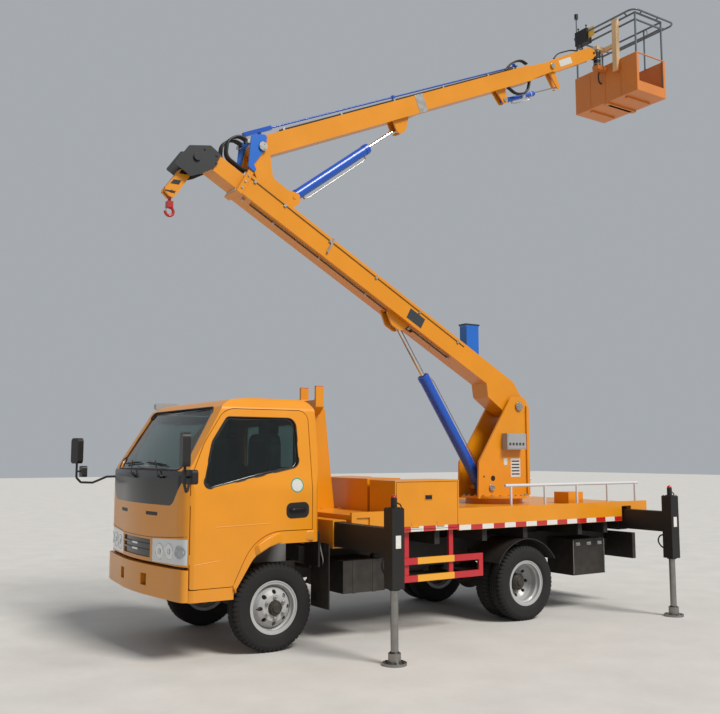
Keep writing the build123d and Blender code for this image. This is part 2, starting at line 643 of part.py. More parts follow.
def rear_handrail():
    """The grab rails along both rear edges of the deck, each post cut to its rail."""
    rail = bar((-2620, 860, 1365), (-4640, 860, 1365), 16)
    pieces = both_sides(rail)
    for post_x in (-2700, -3180, -3660, -4140, -4600):
        pieces += both_sides(upright(post_x, 860, (DECK_TOP, 1360), 13) - rail)
    return pieces


def side_guards():
    """Guard rails between the wheels, two bars a side on uprights."""
    pieces = []
    for low, high in ((500, 560), (660, 720)):
        pieces += both_sides(block((-2240, -1226), (915, 940), (low, high)))
    pieces += both_sides(block((-2240, -2190), (915, 940), (560, 660)))
    for post_x in (-1330, -1860):
        pieces += both_sides(block((post_x - 25, post_x + 25), (890, 915), (500, SKIRT_BOTTOM + 60)))
    return pieces


def tanks():
    """Fuel tank and hydraulic tank hung on the rails, and the battery box."""
    near = block((-1160, -700), (RAIL_OUTER_Y, 800), (430, 720))
    far = block((-1900, -1150), (-800, -RAIL_OUTER_Y), (430, 760))
    rear = block((-4180, -3680), (RAIL_OUTER_Y, 760), (375, 760))
    return [near, far, rear]


def mudguards():
    """Curved guards over the rear wheels and flaps behind the front wheels."""
    guards = []
    hub_line = (REAR_AXLE_X, WHEEL_RADIUS)
    ring = cross_bar(hub_line, (490, 930), 452) - cross_bar(hub_line, (480, 940), 444)
    top = ring & block((REAR_AXLE_X - 480, REAR_AXLE_X + 480), (480, 940), (600, 900))
    stays = [block((REAR_AXLE_X + along_x - 12, REAR_AXLE_X + along_x + 12),
                   (RAIL_OUTER_Y, 500), (660, 690)) for along_x in (-330, 330)]
    rear = joined(top, *stays) - cross_bar(hub_line, (370, 940), 444)
    flap = block((-480, -468), (620, 930), (330, 900))
    stay = block((-480, -440), (RAIL_OUTER_Y, 640), (660, 690))
    return both_sides(rear) + both_sides(joined(flap, stay))


def rear_underrun():
    """The rear underrun plate with its brackets and tail lamps."""
    plate = block((-4700, RAIL_REAR_X), (-760, 760), (500, 790))
    lamps = [block((-4715, -4700), (y - 110, y + 110), (600, 700)) for y in (600, -600)]
    return joined(plate, *lamps)


def outrigger_beam(beam_x, leg_y, inner_y, side):
    """A sliding beam with the upright leg housing at its outer end."""
    beam = block((beam_x - BEAM_HALF, beam_x + BEAM_HALF), (inner_y, leg_y - 40), BEAM_Z)
    leg = block((beam_x - 60, beam_x + 60), (leg_y - 60, leg_y + 60), (600, 1245))
    bore = upright(beam_x, leg_y, (500, 1200), 40)
    lamp = upright(beam_x, leg_y, (1245, 1330), 26)
    left = joined(beam, leg - bore, lamp)
    return left if side > 0 else mirror(left, about=Plane.XZ)


def outrigger_jack(beam_x, leg_y, side):
    """The jack rod with its round foot, standing on the ground."""
    rod = upright(beam_x, leg_y, (60, 740), 32)
    foot = joined(upright(beam_x, leg_y, (0, 22), FOOT_RADIUS),
                  upright(beam_x, leg_y, (20, 95), 52))
    left = joined(rod, foot)
    return left if side > 0 else mirror(left, about=Plane.XZ)


# Turret

def turret():
    """Cheek plates, back plate, round base and valve cover, with both cylinder and boom pins."""
    cheek_rows = [(-3610, SLEW_TOP + 1, 0), (-2845, SLEW_TOP + 1, 0), (-2862, 1600, 30),
                  (-3360, 2345, 90), (-3600, 2345, 100)]
    cheek = slab(cheek_rows, (TURRET_HALF - 25, TURRET_HALF))
    cheeks = both_sides(cheek)
    back = block((-3607, -3585), (-160, 160), (SLEW_TOP + 1, 2050))
    base = Pos(SLEW_X, 0, SLEW_TOP + 13) * Cylinder(395, 24)
    pin = cross_bar(BOOM_PIVOT, (-TURRET_HALF - 14, TURRET_HALF + 14), 38)
    base_pin = cross_bar(LIFT_BASE, (-TURRET_HALF - 10, TURRET_HALF + 10), 28)
    valve_cover = block((-3490, -3205), (TURRET_HALF - 5, TURRET_HALF + 90), (1740, 1920))
    return joined(*cheeks, back, base, pin, base_pin, valve_cover)


# Lower boom

def lower_boom():
    """Hollow box boom with its cranked root, lift lug, head collar and knuckle plates."""
    def at(along, up):
        return from_frame(LOWER, along, up)
    head_top = at(0, 0)
    head_bottom = at(0, -LOWER_DEPTH)
    bend_top = at(-3585, 0)
    outline = [(*head_top, 0), (*head_bottom, 0), (-3032, 2484, 0), (-3054, 2331, 30),
               (-3290, 2170, 40), (-3400, 2120, 90), (-3560, 2120, 90), (-3570, 2330, 60),
               (-3439, 2513, 40), (*bend_top, 0)]
    wall = 9
    boom = slab(outline, (-LOWER_HALF, LOWER_HALF))
    bay = slab([(-3300, -wall, 0), (20, -wall, 0), (20, -LOWER_DEPTH + wall, 0),
                (-3300, -LOWER_DEPTH + wall, 0)], (-LOWER_HALF + wall, LOWER_HALF - wall), LOWER)
    pivot_bore = cross_bar(BOOM_PIVOT, (-200, 200), 38 + RUNNING_FIT)
    collar = slab([(-60, 16, 0), (0, 16, 0), (0, -LOWER_DEPTH - 16, 0),
                   (-60, -LOWER_DEPTH - 16, 0)], (-LOWER_HALF - 16, LOWER_HALF + 16), LOWER)
    eye_along, eye_up = in_frame(LOWER, LIFT_EYE)
    lug = slab([(eye_along - 130, -LOWER_DEPTH + 4, 0), (eye_along + 210, -LOWER_DEPTH + 4, 0),
                (eye_along + 70, eye_up - 70, 65), (eye_along - 70, eye_up - 70, 65)],
               (44, 66), LOWER)
    slot = slab([(eye_along - 240, -LOWER_DEPTH - 5, 0), (eye_along + 170, -LOWER_DEPTH - 5, 0),
                 (eye_along + 170, -LOWER_DEPTH + 60, 0),
                 (eye_along - 240, -LOWER_DEPTH + 60, 0)], (-44, 44), LOWER)
    knuckle_plate = slab([(-262, 4660, 60), (-225, 4756, 50), (-120, 4750, 50), (-60, 4500, 20),
                          (-137, 4330, 0), (-510, 4122, 0), (-610, 4190, 40), (-610, 4290, 50),
                          (-480, 4300, 60), (-300, 4400, 60)], (106, 124))
    knuckle_plate = knuckle_plate - cross_bar(KNUCKLE_PIN, (-200, 200), 30 + RUNNING_FIT)
    base_boss = cross_bar(FOLD_BASE, (-130, 130), 20)
    boom = joined(boom, collar) - bay
    boom = joined(boom, *both_sides(lug), *both_sides(knuckle_plate), base_boss)
    return boom - slot - pivot_bore


def rest_post():
    """The blue post on the lower boom that carries the folded upper boom."""
    rear_foot = from_frame(LOWER, -3397, 0)
    front_foot = from_frame(LOWER, -3195, 0)
    return slab([(*rear_foot, 0), (*front_foot, 0), (-2809, 3118, 0), (-2800, 3145, 0),
                 (-2994, 3145, 0), (-2985, 3118, 0)], (-60, 60))


def knuckle_plates():
    """The blue plates on the knuckle pin, outside the orange plates."""
    plate = slab([(-50, 4790, 30), (-225, 4824, 30), (-201, 4664, 10), (-80, 4497, 20),
                  (-137, 4390, 20), (-20, 4462, 20)], (130, 142))
    pin = cross_bar(KNUCKLE_PIN, (-152, 152), 30)
    return joined(*both_sides(plate), pin)


def inner_boom():
    """The sliding inner section with the crane head on its end."""
    wall = 8
    tube = slab([(-1750, INNER_TOP, 0), (380, INNER_TOP, 0), (380, INNER_BOTTOM, 0),
                 (-1750, INNER_BOTTOM, 0)], (-INNER_HALF, INNER_HALF), LOWER)
    hollow = slab([(-1800, INNER_TOP - wall, 0), (300, INNER_TOP - wall, 0),
                   (300, INNER_BOTTOM + wall, 0), (-1800, INNER_BOTTOM + wall, 0)],
                  (-INNER_HALF + wall, INNER_HALF - wall), LOWER)
    return tube - hollow


def crane_head():
    """The grey sheave head with the striped arm that carries the hook."""
    cheek = slab([(720, 4370, 15), (579, 4569, 25), (361, 4607, 25), (253, 4534, 0),
                  (324, 4391, 0), (447, 4320, 20), (561, 4276, 20)], (INNER_HALF, INNER_HALF + 12))
    sheave = cross_bar((500, 4470), (-40, 40), 80)
    axle = cross_bar((500, 4470), (-INNER_HALF - 24, INNER_HALF + 24), 22)
    arm = slab([(470, 4400, 0), (636, 4345, 0), (795, 4125, 40), (705, 4042, 40)], (-50, 50))
    slot = block((600, 850), (-22, 22), (4000, 4165))
    pin = cross_bar(HOOK_PIN, (-56, 56), 12)
    return joined(*both_sides(cheek), sheave, axle, arm - slot, pin)


def hook():
    """The red hook and its shank, hanging from the arm."""
    hook_x, pin_z = HOOK_PIN
    eye = cross_bar(HOOK_PIN, (-18, 18), 30)
    shank = bar((hook_x, 0, 3975), (hook_x, 0, pin_z), 15)
    swivel = block((hook_x - 28, hook_x + 28), (-30, 30), (3970, 4030))
    ring = Pos(hook_x, 0, 3935) * Rot(90, 0, 0) * Torus(40, 14)
    opening = block((hook_x + 5, hook_x + 60), (-30, 30), (3935, 3965))
    return joined(eye, shank, swivel, ring - opening) - cross_bar(HOOK_PIN, (-60, 60), 12 + RUNNING_FIT)


# Upper boom

def upper_boom():
    """The stepped upper boom with the fold cylinder's lug and the elbow bracket."""
    outline = [(60, UPPER_TOP, 60), (UPPER_LENGTH, UPPER_TOP, 0),
               (UPPER_LENGTH, UPPER_BOTTOM + 14, 0), (2150, UPPER_BOTTOM + 14, 0),
               (2120, UPPER_BOTTOM, 0), (-70, UPPER_BOTTOM, 60), (-70, 60, 60)]
    boom = slab(outline, (-UPPER_HALF, UPPER_HALF), UPPER)
    wall = 8
    hollow = slab([(200, UPPER_TOP - wall, 0), (UPPER_LENGTH - 60, UPPER_TOP - wall, 0),
                   (UPPER_LENGTH - 60, UPPER_BOTTOM + 22, 0), (200, UPPER_BOTTOM + 22, 0)],
                  (-UPPER_HALF + wall, UPPER_HALF - wall), UPPER)
    pin_bore = cross_bar(KNUCKLE_PIN, (-200, 200), 30 + RUNNING_FIT)
    eye_along, eye_up = in_frame(UPPER, FOLD_EYE)
    lug = slab([(eye_along - 60, UPPER_BOTTOM + 2, 0), (eye_along + 170, UPPER_BOTTOM + 2, 0),
                (eye_along + 60, eye_up - 60, 55), (eye_along - 60, eye_up - 60, 55)],
               (40, 60), UPPER)
    base_along, base_up = in_frame(UPPER, JIB_BASE)
    jib_lug = slab([(base_along - 90, UPPER_BOTTOM + 16, 0), (base_along + 60, UPPER_BOTTOM + 16, 0),
                    (base_along + 38, base_up - 38, 35), (base_along - 38, base_up - 38, 35)],
                   (30, 46), UPPER)
    jib_pin = cross_bar(JIB_BASE, (-52, 52), 14)
    elbow_along, elbow_up = in_frame(UPPER, ELBOW_PIN)
    elbow = slab([(UPPER_LENGTH - 140, UPPER_TOP - 10, 0), (UPPER_LENGTH - 140, UPPER_BOTTOM + 20, 0),
                  (elbow_along + 50, elbow_up - 60, 55), (elbow_along + 50, elbow_up + 60, 55)],
                 (UPPER_HALF - 20, UPPER_HALF - 4), UPPER)
    elbow_pin = cross_bar(ELBOW_PIN, (-UPPER_HALF - 10, UPPER_HALF + 10), 22)
    boom = joined(boom - hollow, *both_sides(lug), *both_sides(jib_lug), *both_sides(elbow),
                  jib_pin, elbow_pin)
    return boom - pin_bore


def levelling_line():
    """The blue levelling cylinder and the pipe along the top of the upper boom."""
    barrel = slab([(-80, 160, 0), (250, 160, 0), (250, 200, 0), (-80, 200, 0)], (-24, 24), UPPER)
    start = from_frame(UPPER, 240, 180)
    end = from_frame(UPPER, 3950, 150)
    line = bar((start[0], 0, start[1]), (end[0], 0, end[1]), 9)
    feet = []
    for along in (100, 1900, 3900):
        feet.append(slab([(along - 14, UPPER_TOP, 0), (along + 14, UPPER_TOP, 0),
                          (along + 14, 185, 0), (along - 14, 185, 0)], (-14, 14), UPPER))
    return joined(barrel, line, *feet)


def jib():
    """The short jib with its lever, hinged at the elbow."""
    lever_along, lever_up = in_frame(JIB, JIB_EYE)
    arm = slab([(-60, -60, 50), (-60, 60, 50), (90, 78, 0), (JIB_LENGTH - 20, 78, 30),
                (JIB_LENGTH - 20, -78, 30), (90, -78, 0)], (-JIB_HALF, JIB_HALF), JIB)
    lever = slab([(-40, 0, 0), (70, 0, 0), (lever_along + 26, lever_up - 26, 25),
                  (lever_along - 26, lever_up - 26, 25)], (28, 44), JIB)
    bore = cross_bar(ELBOW_PIN, (-90, 90), 22 + RUNNING_FIT)
    fork = slab([(JIB_LENGTH - 120, -70, 0), (JIB_LENGTH - 120, 70, 0),
                 (JIB_LENGTH + 40, 34, 30), (JIB_LENGTH + 40, -52, 30)], (53, JIB_HALF), JIB)
    gap = slab([(JIB_LENGTH - 155, -100, 0), (JIB_LENGTH - 155, 100, 0),
                (JIB_LENGTH + 100, 100, 0), (JIB_LENGTH + 100, -100, 0)], (-53, 53), JIB)
    level_bore = cross_bar(LEVEL_PIN, (-90, 90), 16 + RUNNING_FIT)
    return joined(arm, *both_sides(lever), *both_sides(fork)) - bore - gap - level_bore


# Basket

def basket_bracket():
    """The level link: a lug in the jib's fork and the sleeve of the swing pin."""
    lug = cross_bar(LEVEL_PIN, (-40, 40), 42)
    pin = cross_bar(LEVEL_PIN, (-72, 72), 16)
    sleeve = upright(SWING_X, 0, (6800, 6995), 47)
    web = block((SWING_X, LEVEL_PIN[0]), (-36, 36), (6873, 6957))
    bore = upright(SWING_X, 0, (6700, 7100), 24 + RUNNING_FIT)
    return joined(lug, pin, sleeve, web) - bore


def basket_tub():
    """The open tub: three high walls, a low sill on the entry side and a floor with ribs."""
    low_x, high_x = BASKET_X
    low_y, high_y = BASKET_Y
    floor_z, top_z = BASKET_Z
    wall = 12
    outer = block(BASKET_X, BASKET_Y, BASKET_Z)
    inner = block((low_x + wall, high_x - wall), (low_y + wall, high_y - wall),
                  (floor_z + wall, top_z + 10))
    entry = block((low_x + 40, high_x - 40), (high_y - 30, high_y + 10), (floor_z + 130, top_z + 10))
    ribs = [block((low_x + 60, high_x - 60), (y - 20, y + 20), (floor_z - 22, floor_z))
            for y in (-300, 0, 300)]
    post = block((high_x, high_x + 60), (190, 260), (floor_z + 340, BASKET_RAIL_Z))
    arm = block((high_x + 10, SWING_X + 46), (-48, 48), (7000, 7050))
    link = block((high_x + 10, SWING_X - 85), (-48, 260), (7000, 7050))
    lower_arm = block((high_x - 5, SWING_X + 40), (-48, 48), (6740, 6794))
    pin = upright(SWING_X, 0, (6750, 7040), 24)
    mat = block((low_x + 45, high_x - 45), (low_y + 45, high_y - 45), (floor_z + wall, floor_z + wall + 3))
    return joined(outer - inner - entry, *ribs, mat, post, arm, link, lower_arm, pin)


def rounded_loop(x, y, z, radius, corner):
    """A closed tube loop in plan with rounded corners, as two bent halves."""
    other = (y[0] + y[1]) / 2
    halves = []
    for side_y in y:
        route = [(x[0], other, z), (x[0], side_y, z), (x[1], side_y, z), (x[1], other, z)]
        halves.append(pipe(route, radius, corner))
    return joined(*halves)


def basket_rails():
    """Corner posts, two inner rails and the rounded outer grab rail of the basket."""
    low_x, high_x = BASKET_X
    low_y, high_y = BASKET_Y
    inset = 25.5
    pieces = []
    corners = [(low_x + inset, low_y + inset), (high_x - inset, low_y + inset),
               (high_x - inset, high_y - inset), (low_x + inset, high_y - inset)]
    for x, y in corners:
        pieces.append(upright(x, y, (BASKET_Z[0] + 12, BASKET_RAIL_Z), 13))
    for z in (BASKET_RAIL_Z, BASKET_RAIL_Z - 92):
        for index, corner in enumerate(corners):
            following = corners[(index + 1) % 4]
            pieces.append(bar((*corner, z), (*following, z), 13))
    outer_x, outer_y, outer_z = (-6085, high_x + 36), (-530, 540), 7400
    pieces.append(rounded_loop(outer_x, outer_y, outer_z, 13, 100))
    for y in (low_y + 150, high_y - 150):
        pieces.append(bar((low_x + inset, y, BASKET_RAIL_Z), (outer_x[0], y, outer_z), 10))
        pieces.append(bar((high_x - inset, y, BASKET_RAIL_Z), (outer_x[1], y, outer_z), 10))
    for x in (low_x + 120, high_x - 120):
        pieces.append(bar((x, low_y + inset, BASKET_RAIL_Z), (x, outer_y[0], outer_z), 10))
        pieces.append(bar((x, high_y - inset, BASKET_RAIL_Z), (x, outer_y[1], outer_z), 10))
    pieces.append(upright(low_x + inset, 230, (BASKET_Z[1] - 5, BASKET_RAIL_Z), 11))
    return joined(*pieces, *basket_controls())


def basket_controls():
    """The control box on the front rail and the lamp mast on a corner post."""
    box = block((BASKET_X[1] - 34, BASKET_X[1] + 65), (-446, -236), (7255, 7450))
    mast = upright(BASKET_X[1] - 20, BASKET_Y[0] + 30, (7300, 7700), 9)
    lamp = upright(BASKET_X[1] - 20, BASKET_Y[0] + 30, (7690, 7760), 26)
    return [box, mast, lamp]


# Hydraulic cylinders

def cylinder_frame(base, eye):
    """A frame on a cylinder's axis, from its base pin towards its rod eye."""
    return Plane(origin=(base[0], 0, base[1]),
                 x_dir=(eye[0] - base[0], 0, eye[1] - base[1]), z_dir=(0, -1, 0))


def along(frame, distance):
    """The point on a cylinder's axis at a distance from its base pin."""
    return frame.from_local_coords(Vector(distance, 0, 0))


def barrel(base, eye, length, radius, bore, pin, half_eye, end=60):
    """A barrel with its base eye on the pin and an open bore for the rod."""
    axis = cylinder_frame(base, eye)
    eye_ring = cross_bar(base, (-half_eye, half_eye), radius * 0.8)
    tube = bar(along(axis, radius * 0.8 - 5), along(axis, length), radius)
    hollow = bar(along(axis, pin + end), along(axis, length + 5), bore)
    pin_hole = cross_bar(base, (-200, 200), pin + RUNNING_FIT)
    return joined(eye_ring, tube) - hollow - pin_hole


def fold_trunnion():
    """The bushing on the fold cylinder's base pin."""
    ring = cross_bar(FOLD_BASE, (-56, 56), 30)
    return ring - cross_bar(FOLD_BASE, (-100, 100), 20 + RUNNING_FIT)


def fold_piston():
    """The piston sleeve inside the fold cylinder's barrel, round the rod."""
    axis = cylinder_frame(FOLD_BASE, FOLD_EYE)
    sleeve = bar(along(axis, 1065), along(axis, 1185), 41)
    return sleeve - bar(along(axis, 1000), along(axis, 1300), 24 + RUNNING_FIT)


def rod(base, eye, inside, radius, eye_radius, half_eye):
    """A chromed rod from inside the barrel to its eye, with a short pin."""
    axis = cylinder_frame(base, eye)
    length = (Vector(eye[0], 0, eye[1]) - Vector(base[0], 0, base[1])).length
    shaft = bar(along(axis, inside), along(axis, length), radius)
    eye_ring = cross_bar(eye, (-half_eye, half_eye), eye_radius)
    return joined(shaft, eye_ring)


# Output

def write_node(name, shape):
    """Writes one sub-part, moved from the axle frame to the part's own origin."""
    solids = shape if isinstance(shape, list) else [shape]
    kept = []
    for piece in solids:
        kept += list((Pos(FRONT_AXLE_X, 0, 0) * piece).solids())
    result = kept[0] if len(kept) == 1 else Compound(children=kept)
    export_step(result, os.path.join("parts", name + ".step"))


def main():
    os.makedirs("parts", exist_ok=True)
    nodes = {
        "chassis_frame": chassis_frame(),
        "engine_block": engine_block(),
        "axles_and_springs": [sprung_axle(front_axle(), 0, 600, 500, 390),
                              sprung_axle(rear_axle(), REAR_AXLE_X, 600, 520, 440)],
        "bumper": bumper(),
        "cab_interior": [joined(dashboard(), steering_wheel()), *seats()],
        "subframe": subframe(),
        "deck": deck(),
        "deck_boxes": deck_boxes(),
        "boom_rest": boom_rest(),
        "rear_handrails": rear_handrail(),
        "side_guards": side_guards(),
        "underbody_fittings": [*tanks(), *mudguards(), rear_underrun()],
        "turret": turret(),
        "lower_boom": lower_boom(),
        "boom_rest_post": rest_post(),
        "knuckle_plates": knuckle_plates(),
        "inner_boom": inner_boom(),
        "crane_head": crane_head(),
        "crane_hook": hook(),
        "upper_boom": upper_boom(),
        "levelling_line": levelling_line(),
        "jib": jib(),
        "basket_bracket": basket_bracket(),
        "basket_tub": basket_tub(),
        "basket_rails": basket_rails(),
        "lift_cylinder_barrel": barrel(LIFT_BASE, LIFT_EYE, 1470, 62, 46, 28, 60),
        "lift_cylinder_rod": rod(LIFT_BASE, LIFT_EYE, 780, 27, 42, 36),
        "fold_cylinder_bushing": fold_trunnion(),
        "fold_cylinder_piston": fold_piston(),
        "fold_cylinder_barrel": barrel(FOLD_BASE, FOLD_EYE, 1200, 54, 42, 30, 50, 28),
        "fold_cylinder_rod": rod(FOLD_BASE, FOLD_EYE, 495, 24, 38, 32),
        "jib_cylinder_barrel": barrel(JIB_BASE, JIB_EYE, 560, 28, 20, 14, 22),
        "jib_cylinder_rod": rod(JIB_BASE, JIB_EYE, 300, 14, 22, 20),
    }
    nodes.update(cab_nodes())
    for side, word in ((1, "left"), (-1, "right")):
        nodes["front_rim_" + word] = front_rim(side)
        nodes["front_tyre_" + word] = tyre(FRONT_WHEEL_Y, side)
        nodes["rear_rims_" + word] = rear_rims(side)
        nodes["rear_tyres_" + word] = rear_tyres(side)
        nodes["knuckle_" + word] = knuckle(side)
        nodes["front_beam_" + word] = outrigger_beam(FRONT_BEAM_X, FRONT_LEG_Y, 720, side)
        nodes["rear_beam_" + word] = outrigger_beam(REAR_BEAM_X, REAR_LEG_Y, 650, side)
        nodes["front_jack_" + word] = outrigger_jack(FRONT_BEAM_X, FRONT_LEG_Y, side)
        nodes["rear_jack_" + word] = outrigger_jack(REAR_BEAM_X, REAR_LEG_Y, side)
    for name, shape in nodes.items():
        write_node(name, shape)


main()
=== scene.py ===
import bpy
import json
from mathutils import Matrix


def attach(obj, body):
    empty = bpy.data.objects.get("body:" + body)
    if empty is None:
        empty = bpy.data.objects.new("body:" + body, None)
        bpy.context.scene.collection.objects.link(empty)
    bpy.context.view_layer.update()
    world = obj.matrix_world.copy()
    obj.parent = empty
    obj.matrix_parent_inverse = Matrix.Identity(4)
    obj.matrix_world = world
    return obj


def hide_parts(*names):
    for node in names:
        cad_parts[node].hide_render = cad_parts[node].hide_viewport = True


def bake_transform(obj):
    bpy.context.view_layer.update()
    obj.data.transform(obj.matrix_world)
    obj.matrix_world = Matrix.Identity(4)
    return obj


bl_info = {
    "name": "Cherry picker truck",
    "version": (1, 0, 0),
    "blender": (4, 5, 0),
    "location": "3D View > Sidebar > Cherry picker",
    "description": "Dresses the packed truck with its finishes, fittings and studio",
    "category": "Object",
}

import json
import math

import bmesh
import bpy
from bpy.props import FloatProperty, FloatVectorProperty, PointerProperty
from mathutils import Matrix, Vector
from mathutils.bvhtree import BVHTree

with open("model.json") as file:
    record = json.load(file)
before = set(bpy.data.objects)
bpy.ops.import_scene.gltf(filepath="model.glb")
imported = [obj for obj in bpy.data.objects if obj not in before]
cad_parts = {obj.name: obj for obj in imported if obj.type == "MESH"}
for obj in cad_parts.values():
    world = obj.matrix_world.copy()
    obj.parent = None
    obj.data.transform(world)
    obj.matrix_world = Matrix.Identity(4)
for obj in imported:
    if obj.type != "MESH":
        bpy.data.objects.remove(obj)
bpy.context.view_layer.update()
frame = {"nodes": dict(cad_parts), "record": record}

# Places are in millimetres from the centre of the front axle on the ground, as in the CAD source
AXLE_X = 2.4808
REAR_AXLE = -2850
WHEEL_RADIUS = 375
TYRE_Y = 720
TWIN_TYRES_Y = (607.5, 822.5)
DECK_FACE = 960
TOOL_BOX_FACE = 968
SLEW_X = -3230
SWING_X = -5160
HOOK_PIN_X = 719

# Pins of the booms and their cylinders, as (x, z)
BOOM_PIVOT = (-3465, 2233)
LIFT_BASE, LIFT_EYE = (-3040, 1315), (-1860, 3092)
LOWER_HEAD = (-17, 4418)
KNUCKLE_PIN = (-175, 4690)
FOLD_BASE, FOLD_EYE = (-545, 4245), (-1895, 5262)
ELBOW_PIN = (-4230, 6530)
JIB_BASE, JIB_EYE = (-3470, 5935), (-4383, 6313)

SIDES = ((1, "left"), (-1, "right"))
UP = Vector((0, 0, 1))
ACROSS = Vector((0, 1, 0))
AHEAD = Vector((1, 0, 0))


def linear(text):
    """An sRGB hex colour as linear red, green, blue and alpha."""
    parts = [int(text[i:i + 2], 16) / 255 for i in (0, 2, 4)]
    return [p / 12.92 if p <= 0.04045 else ((p + 0.055) / 1.055) ** 2.4 for p in parts] + [1.0]


# Settings

class CherrySettings(bpy.types.PropertyGroup):
    """Sizes and colours of the truck's dress that a user may change before it is built."""

    body_colour: FloatVectorProperty(
        name="Body colour", description="Enamel of the cab, deck, turret and booms",
        subtype="COLOR", size=4, min=0.0, max=1.0, default=linear("d98a08"))
    cylinder_colour: FloatVectorProperty(
        name="Cylinder colour", description="Enamel of the hydraulic cylinders' barrels",
        subtype="COLOR", size=4, min=0.0, max=1.0, default=linear("0d50b8"))
    tub_colour: FloatVectorProperty(
        name="Basket colour", description="Paint of the work basket's tub",
        subtype="COLOR", size=4, min=0.0, max=1.0, default=linear("cf7a30"))
    guard_colour: FloatVectorProperty(
        name="Guard colour", description="Red enamel of the side guards",
        subtype="COLOR", size=4, min=0.0, max=1.0, default=linear("b80d22"))
    stripe_length: FloatProperty(
        name="Stripe length", description="Length of each red or white reflective film on the deck's edge",
        default=0.147, min=0.05, max=0.5, unit="LENGTH")
    tread_depth: FloatProperty(
        name="Tread depth", description="Depth of the grooves in the tyres' tread",
        default=0.009, min=0.002, max=0.015, unit="LENGTH")
    hose_diameter: FloatProperty(
        name="Hose diameter", description="Outer diameter of the hydraulic hoses at the boom joints",
        default=0.022, min=0.008, max=0.04, unit="LENGTH")
    seal_diameter: FloatProperty(
        name="Seal diameter", description="Thickness of the rubber seals round the cab's windows",
        default=0.014, min=0.006, max=0.03, unit="LENGTH")
    sun_strength: FloatProperty(
        name="Key light", description="Strength of the soft key light", default=3.3, min=0.0, max=10.0)


# Materials

DUST = linear("8b7d69")
WORN_RUBBER = linear("2e2c29")
BAND_YELLOW = linear("e3a02c")
SEAT_THREAD = linear("6c7077")
# The yellow band of the side guards: its middle and half length along the truck, and the rails'
# face across it, in metres
BAND_MIDDLE, BAND_HALF, RAIL_FACE = AXLE_X - 1.66, 0.22, 0.9151


def per(size):
    """The scale that gives a noise or cell pattern its size in millimetres."""
    return 1000 / size


def ribs(size):
    """The scale that gives a wave pattern its rib spacing in millimetres."""
    return 1000 * math.pi / 10 / size


def add(tree, kind, inputs=None, **settings):
    """Adds a node, gives it its settings, and sets or links its inputs."""
    node = tree.nodes.new(kind)
    for name, value in settings.items():
        setattr(node, name, value)
    for key, value in (inputs or {}).items():
        if isinstance(value, bpy.types.NodeSocket):
            tree.links.new(value, node.inputs[key])
        else:
            node.inputs[key].default_value = value
    return node


def shaded(name, looks):
    """A material whose shader takes what looks(tree, place) gives for its sockets."""
    material = bpy.data.materials.new(name)
    material.use_nodes = True
    tree = material.node_tree
    tree.nodes.clear()
    place = add(tree, "ShaderNodeTexCoord").outputs["Object"]
    shader = add(tree, "ShaderNodeBsdfPrincipled", looks(tree, place))
    add(tree, "ShaderNodeOutputMaterial", {"Surface": shader.outputs["BSDF"]})
    return material


def enamel(tree, place, colour, roughness=0.34, coat=0.2, dust=0.2):
    """Sprayed enamel: 4 mm orange peel, faint clouds of tone half a metre wide, and dust low down."""
    clouds = add(tree, "ShaderNodeTexNoise", {"Vector": place, "Scale": per(455), "Detail": 5.0})
    tone = add(tree, "ShaderNodeMapRange", {"Value": clouds.outputs["Fac"], "To Min": 0.86, "To Max": 1.1})
    shade = add(tree, "ShaderNodeMix", {"Factor": 1.0, "A": colour, "B": tone.outputs["Result"]},
                data_type="RGBA", blend_type="MULTIPLY")
    height = add(tree, "ShaderNodeSeparateXYZ", {"Vector": place})
    low = add(tree, "ShaderNodeMapRange", {"Value": height.outputs["Z"], "From Min": 1.2,
                                           "From Max": 0.2, "To Max": dust})
    specks = add(tree, "ShaderNodeTexNoise", {"Vector": place, "Scale": per(71.4), "Detail": 6.0})
    settled = add(tree, "ShaderNodeMath", {0: low.outputs["Result"], 1: specks.outputs["Fac"]},
                  operation="MULTIPLY")
    dusty = add(tree, "ShaderNodeMix", {"Factor": settled.outputs["Value"], "A": shade.outputs["Result"],
                                        "B": DUST}, data_type="RGBA")
    sheen = add(tree, "ShaderNodeMapRange", {"Value": clouds.outputs["Fac"], "To Min": roughness - 0.06,
                                             "To Max": roughness + 0.1})
    peel = add(tree, "ShaderNodeTexNoise", {"Vector": place, "Scale": per(4.17), "Detail": 2.0})
    relief = add(tree, "ShaderNodeBump", {"Height": peel.outputs["Fac"], "Strength": 0.05,
                                          "Distance": 0.001})
    return {"Base Color": dusty.outputs["Result"], "Roughness": sheen.outputs["Result"],
            "Coat Weight": coat, "Coat Roughness": 0.12, "Normal": relief.outputs["Normal"]}


def rubber(tree, place, colour, roughness=0.75):
    """Filled rubber or grained plastic: grain drawn at 2.4 mm so that it shows, and greyed patches."""
    patches = add(tree, "ShaderNodeTexNoise", {"Vector": place, "Scale": per(111), "Detail": 6.0})
    worn = add(tree, "ShaderNodeMapRange", {"Value": patches.outputs["Fac"], "To Min": 0.0,
                                            "To Max": 0.35})
    shade = add(tree, "ShaderNodeMix", {"Factor": worn.outputs["Result"], "A": colour, "B": WORN_RUBBER},
                data_type="RGBA")
    grain = add(tree, "ShaderNodeTexNoise", {"Vector": place, "Scale": per(2.38), "Detail": 3.0})
    relief = add(tree, "ShaderNodeBump", {"Height": grain.outputs["Fac"], "Strength": 0.15,
                                          "Distance": 0.0006})
    return {"Base Color": shade.outputs["Result"], "Roughness": roughness,
            "Normal": relief.outputs["Normal"]}


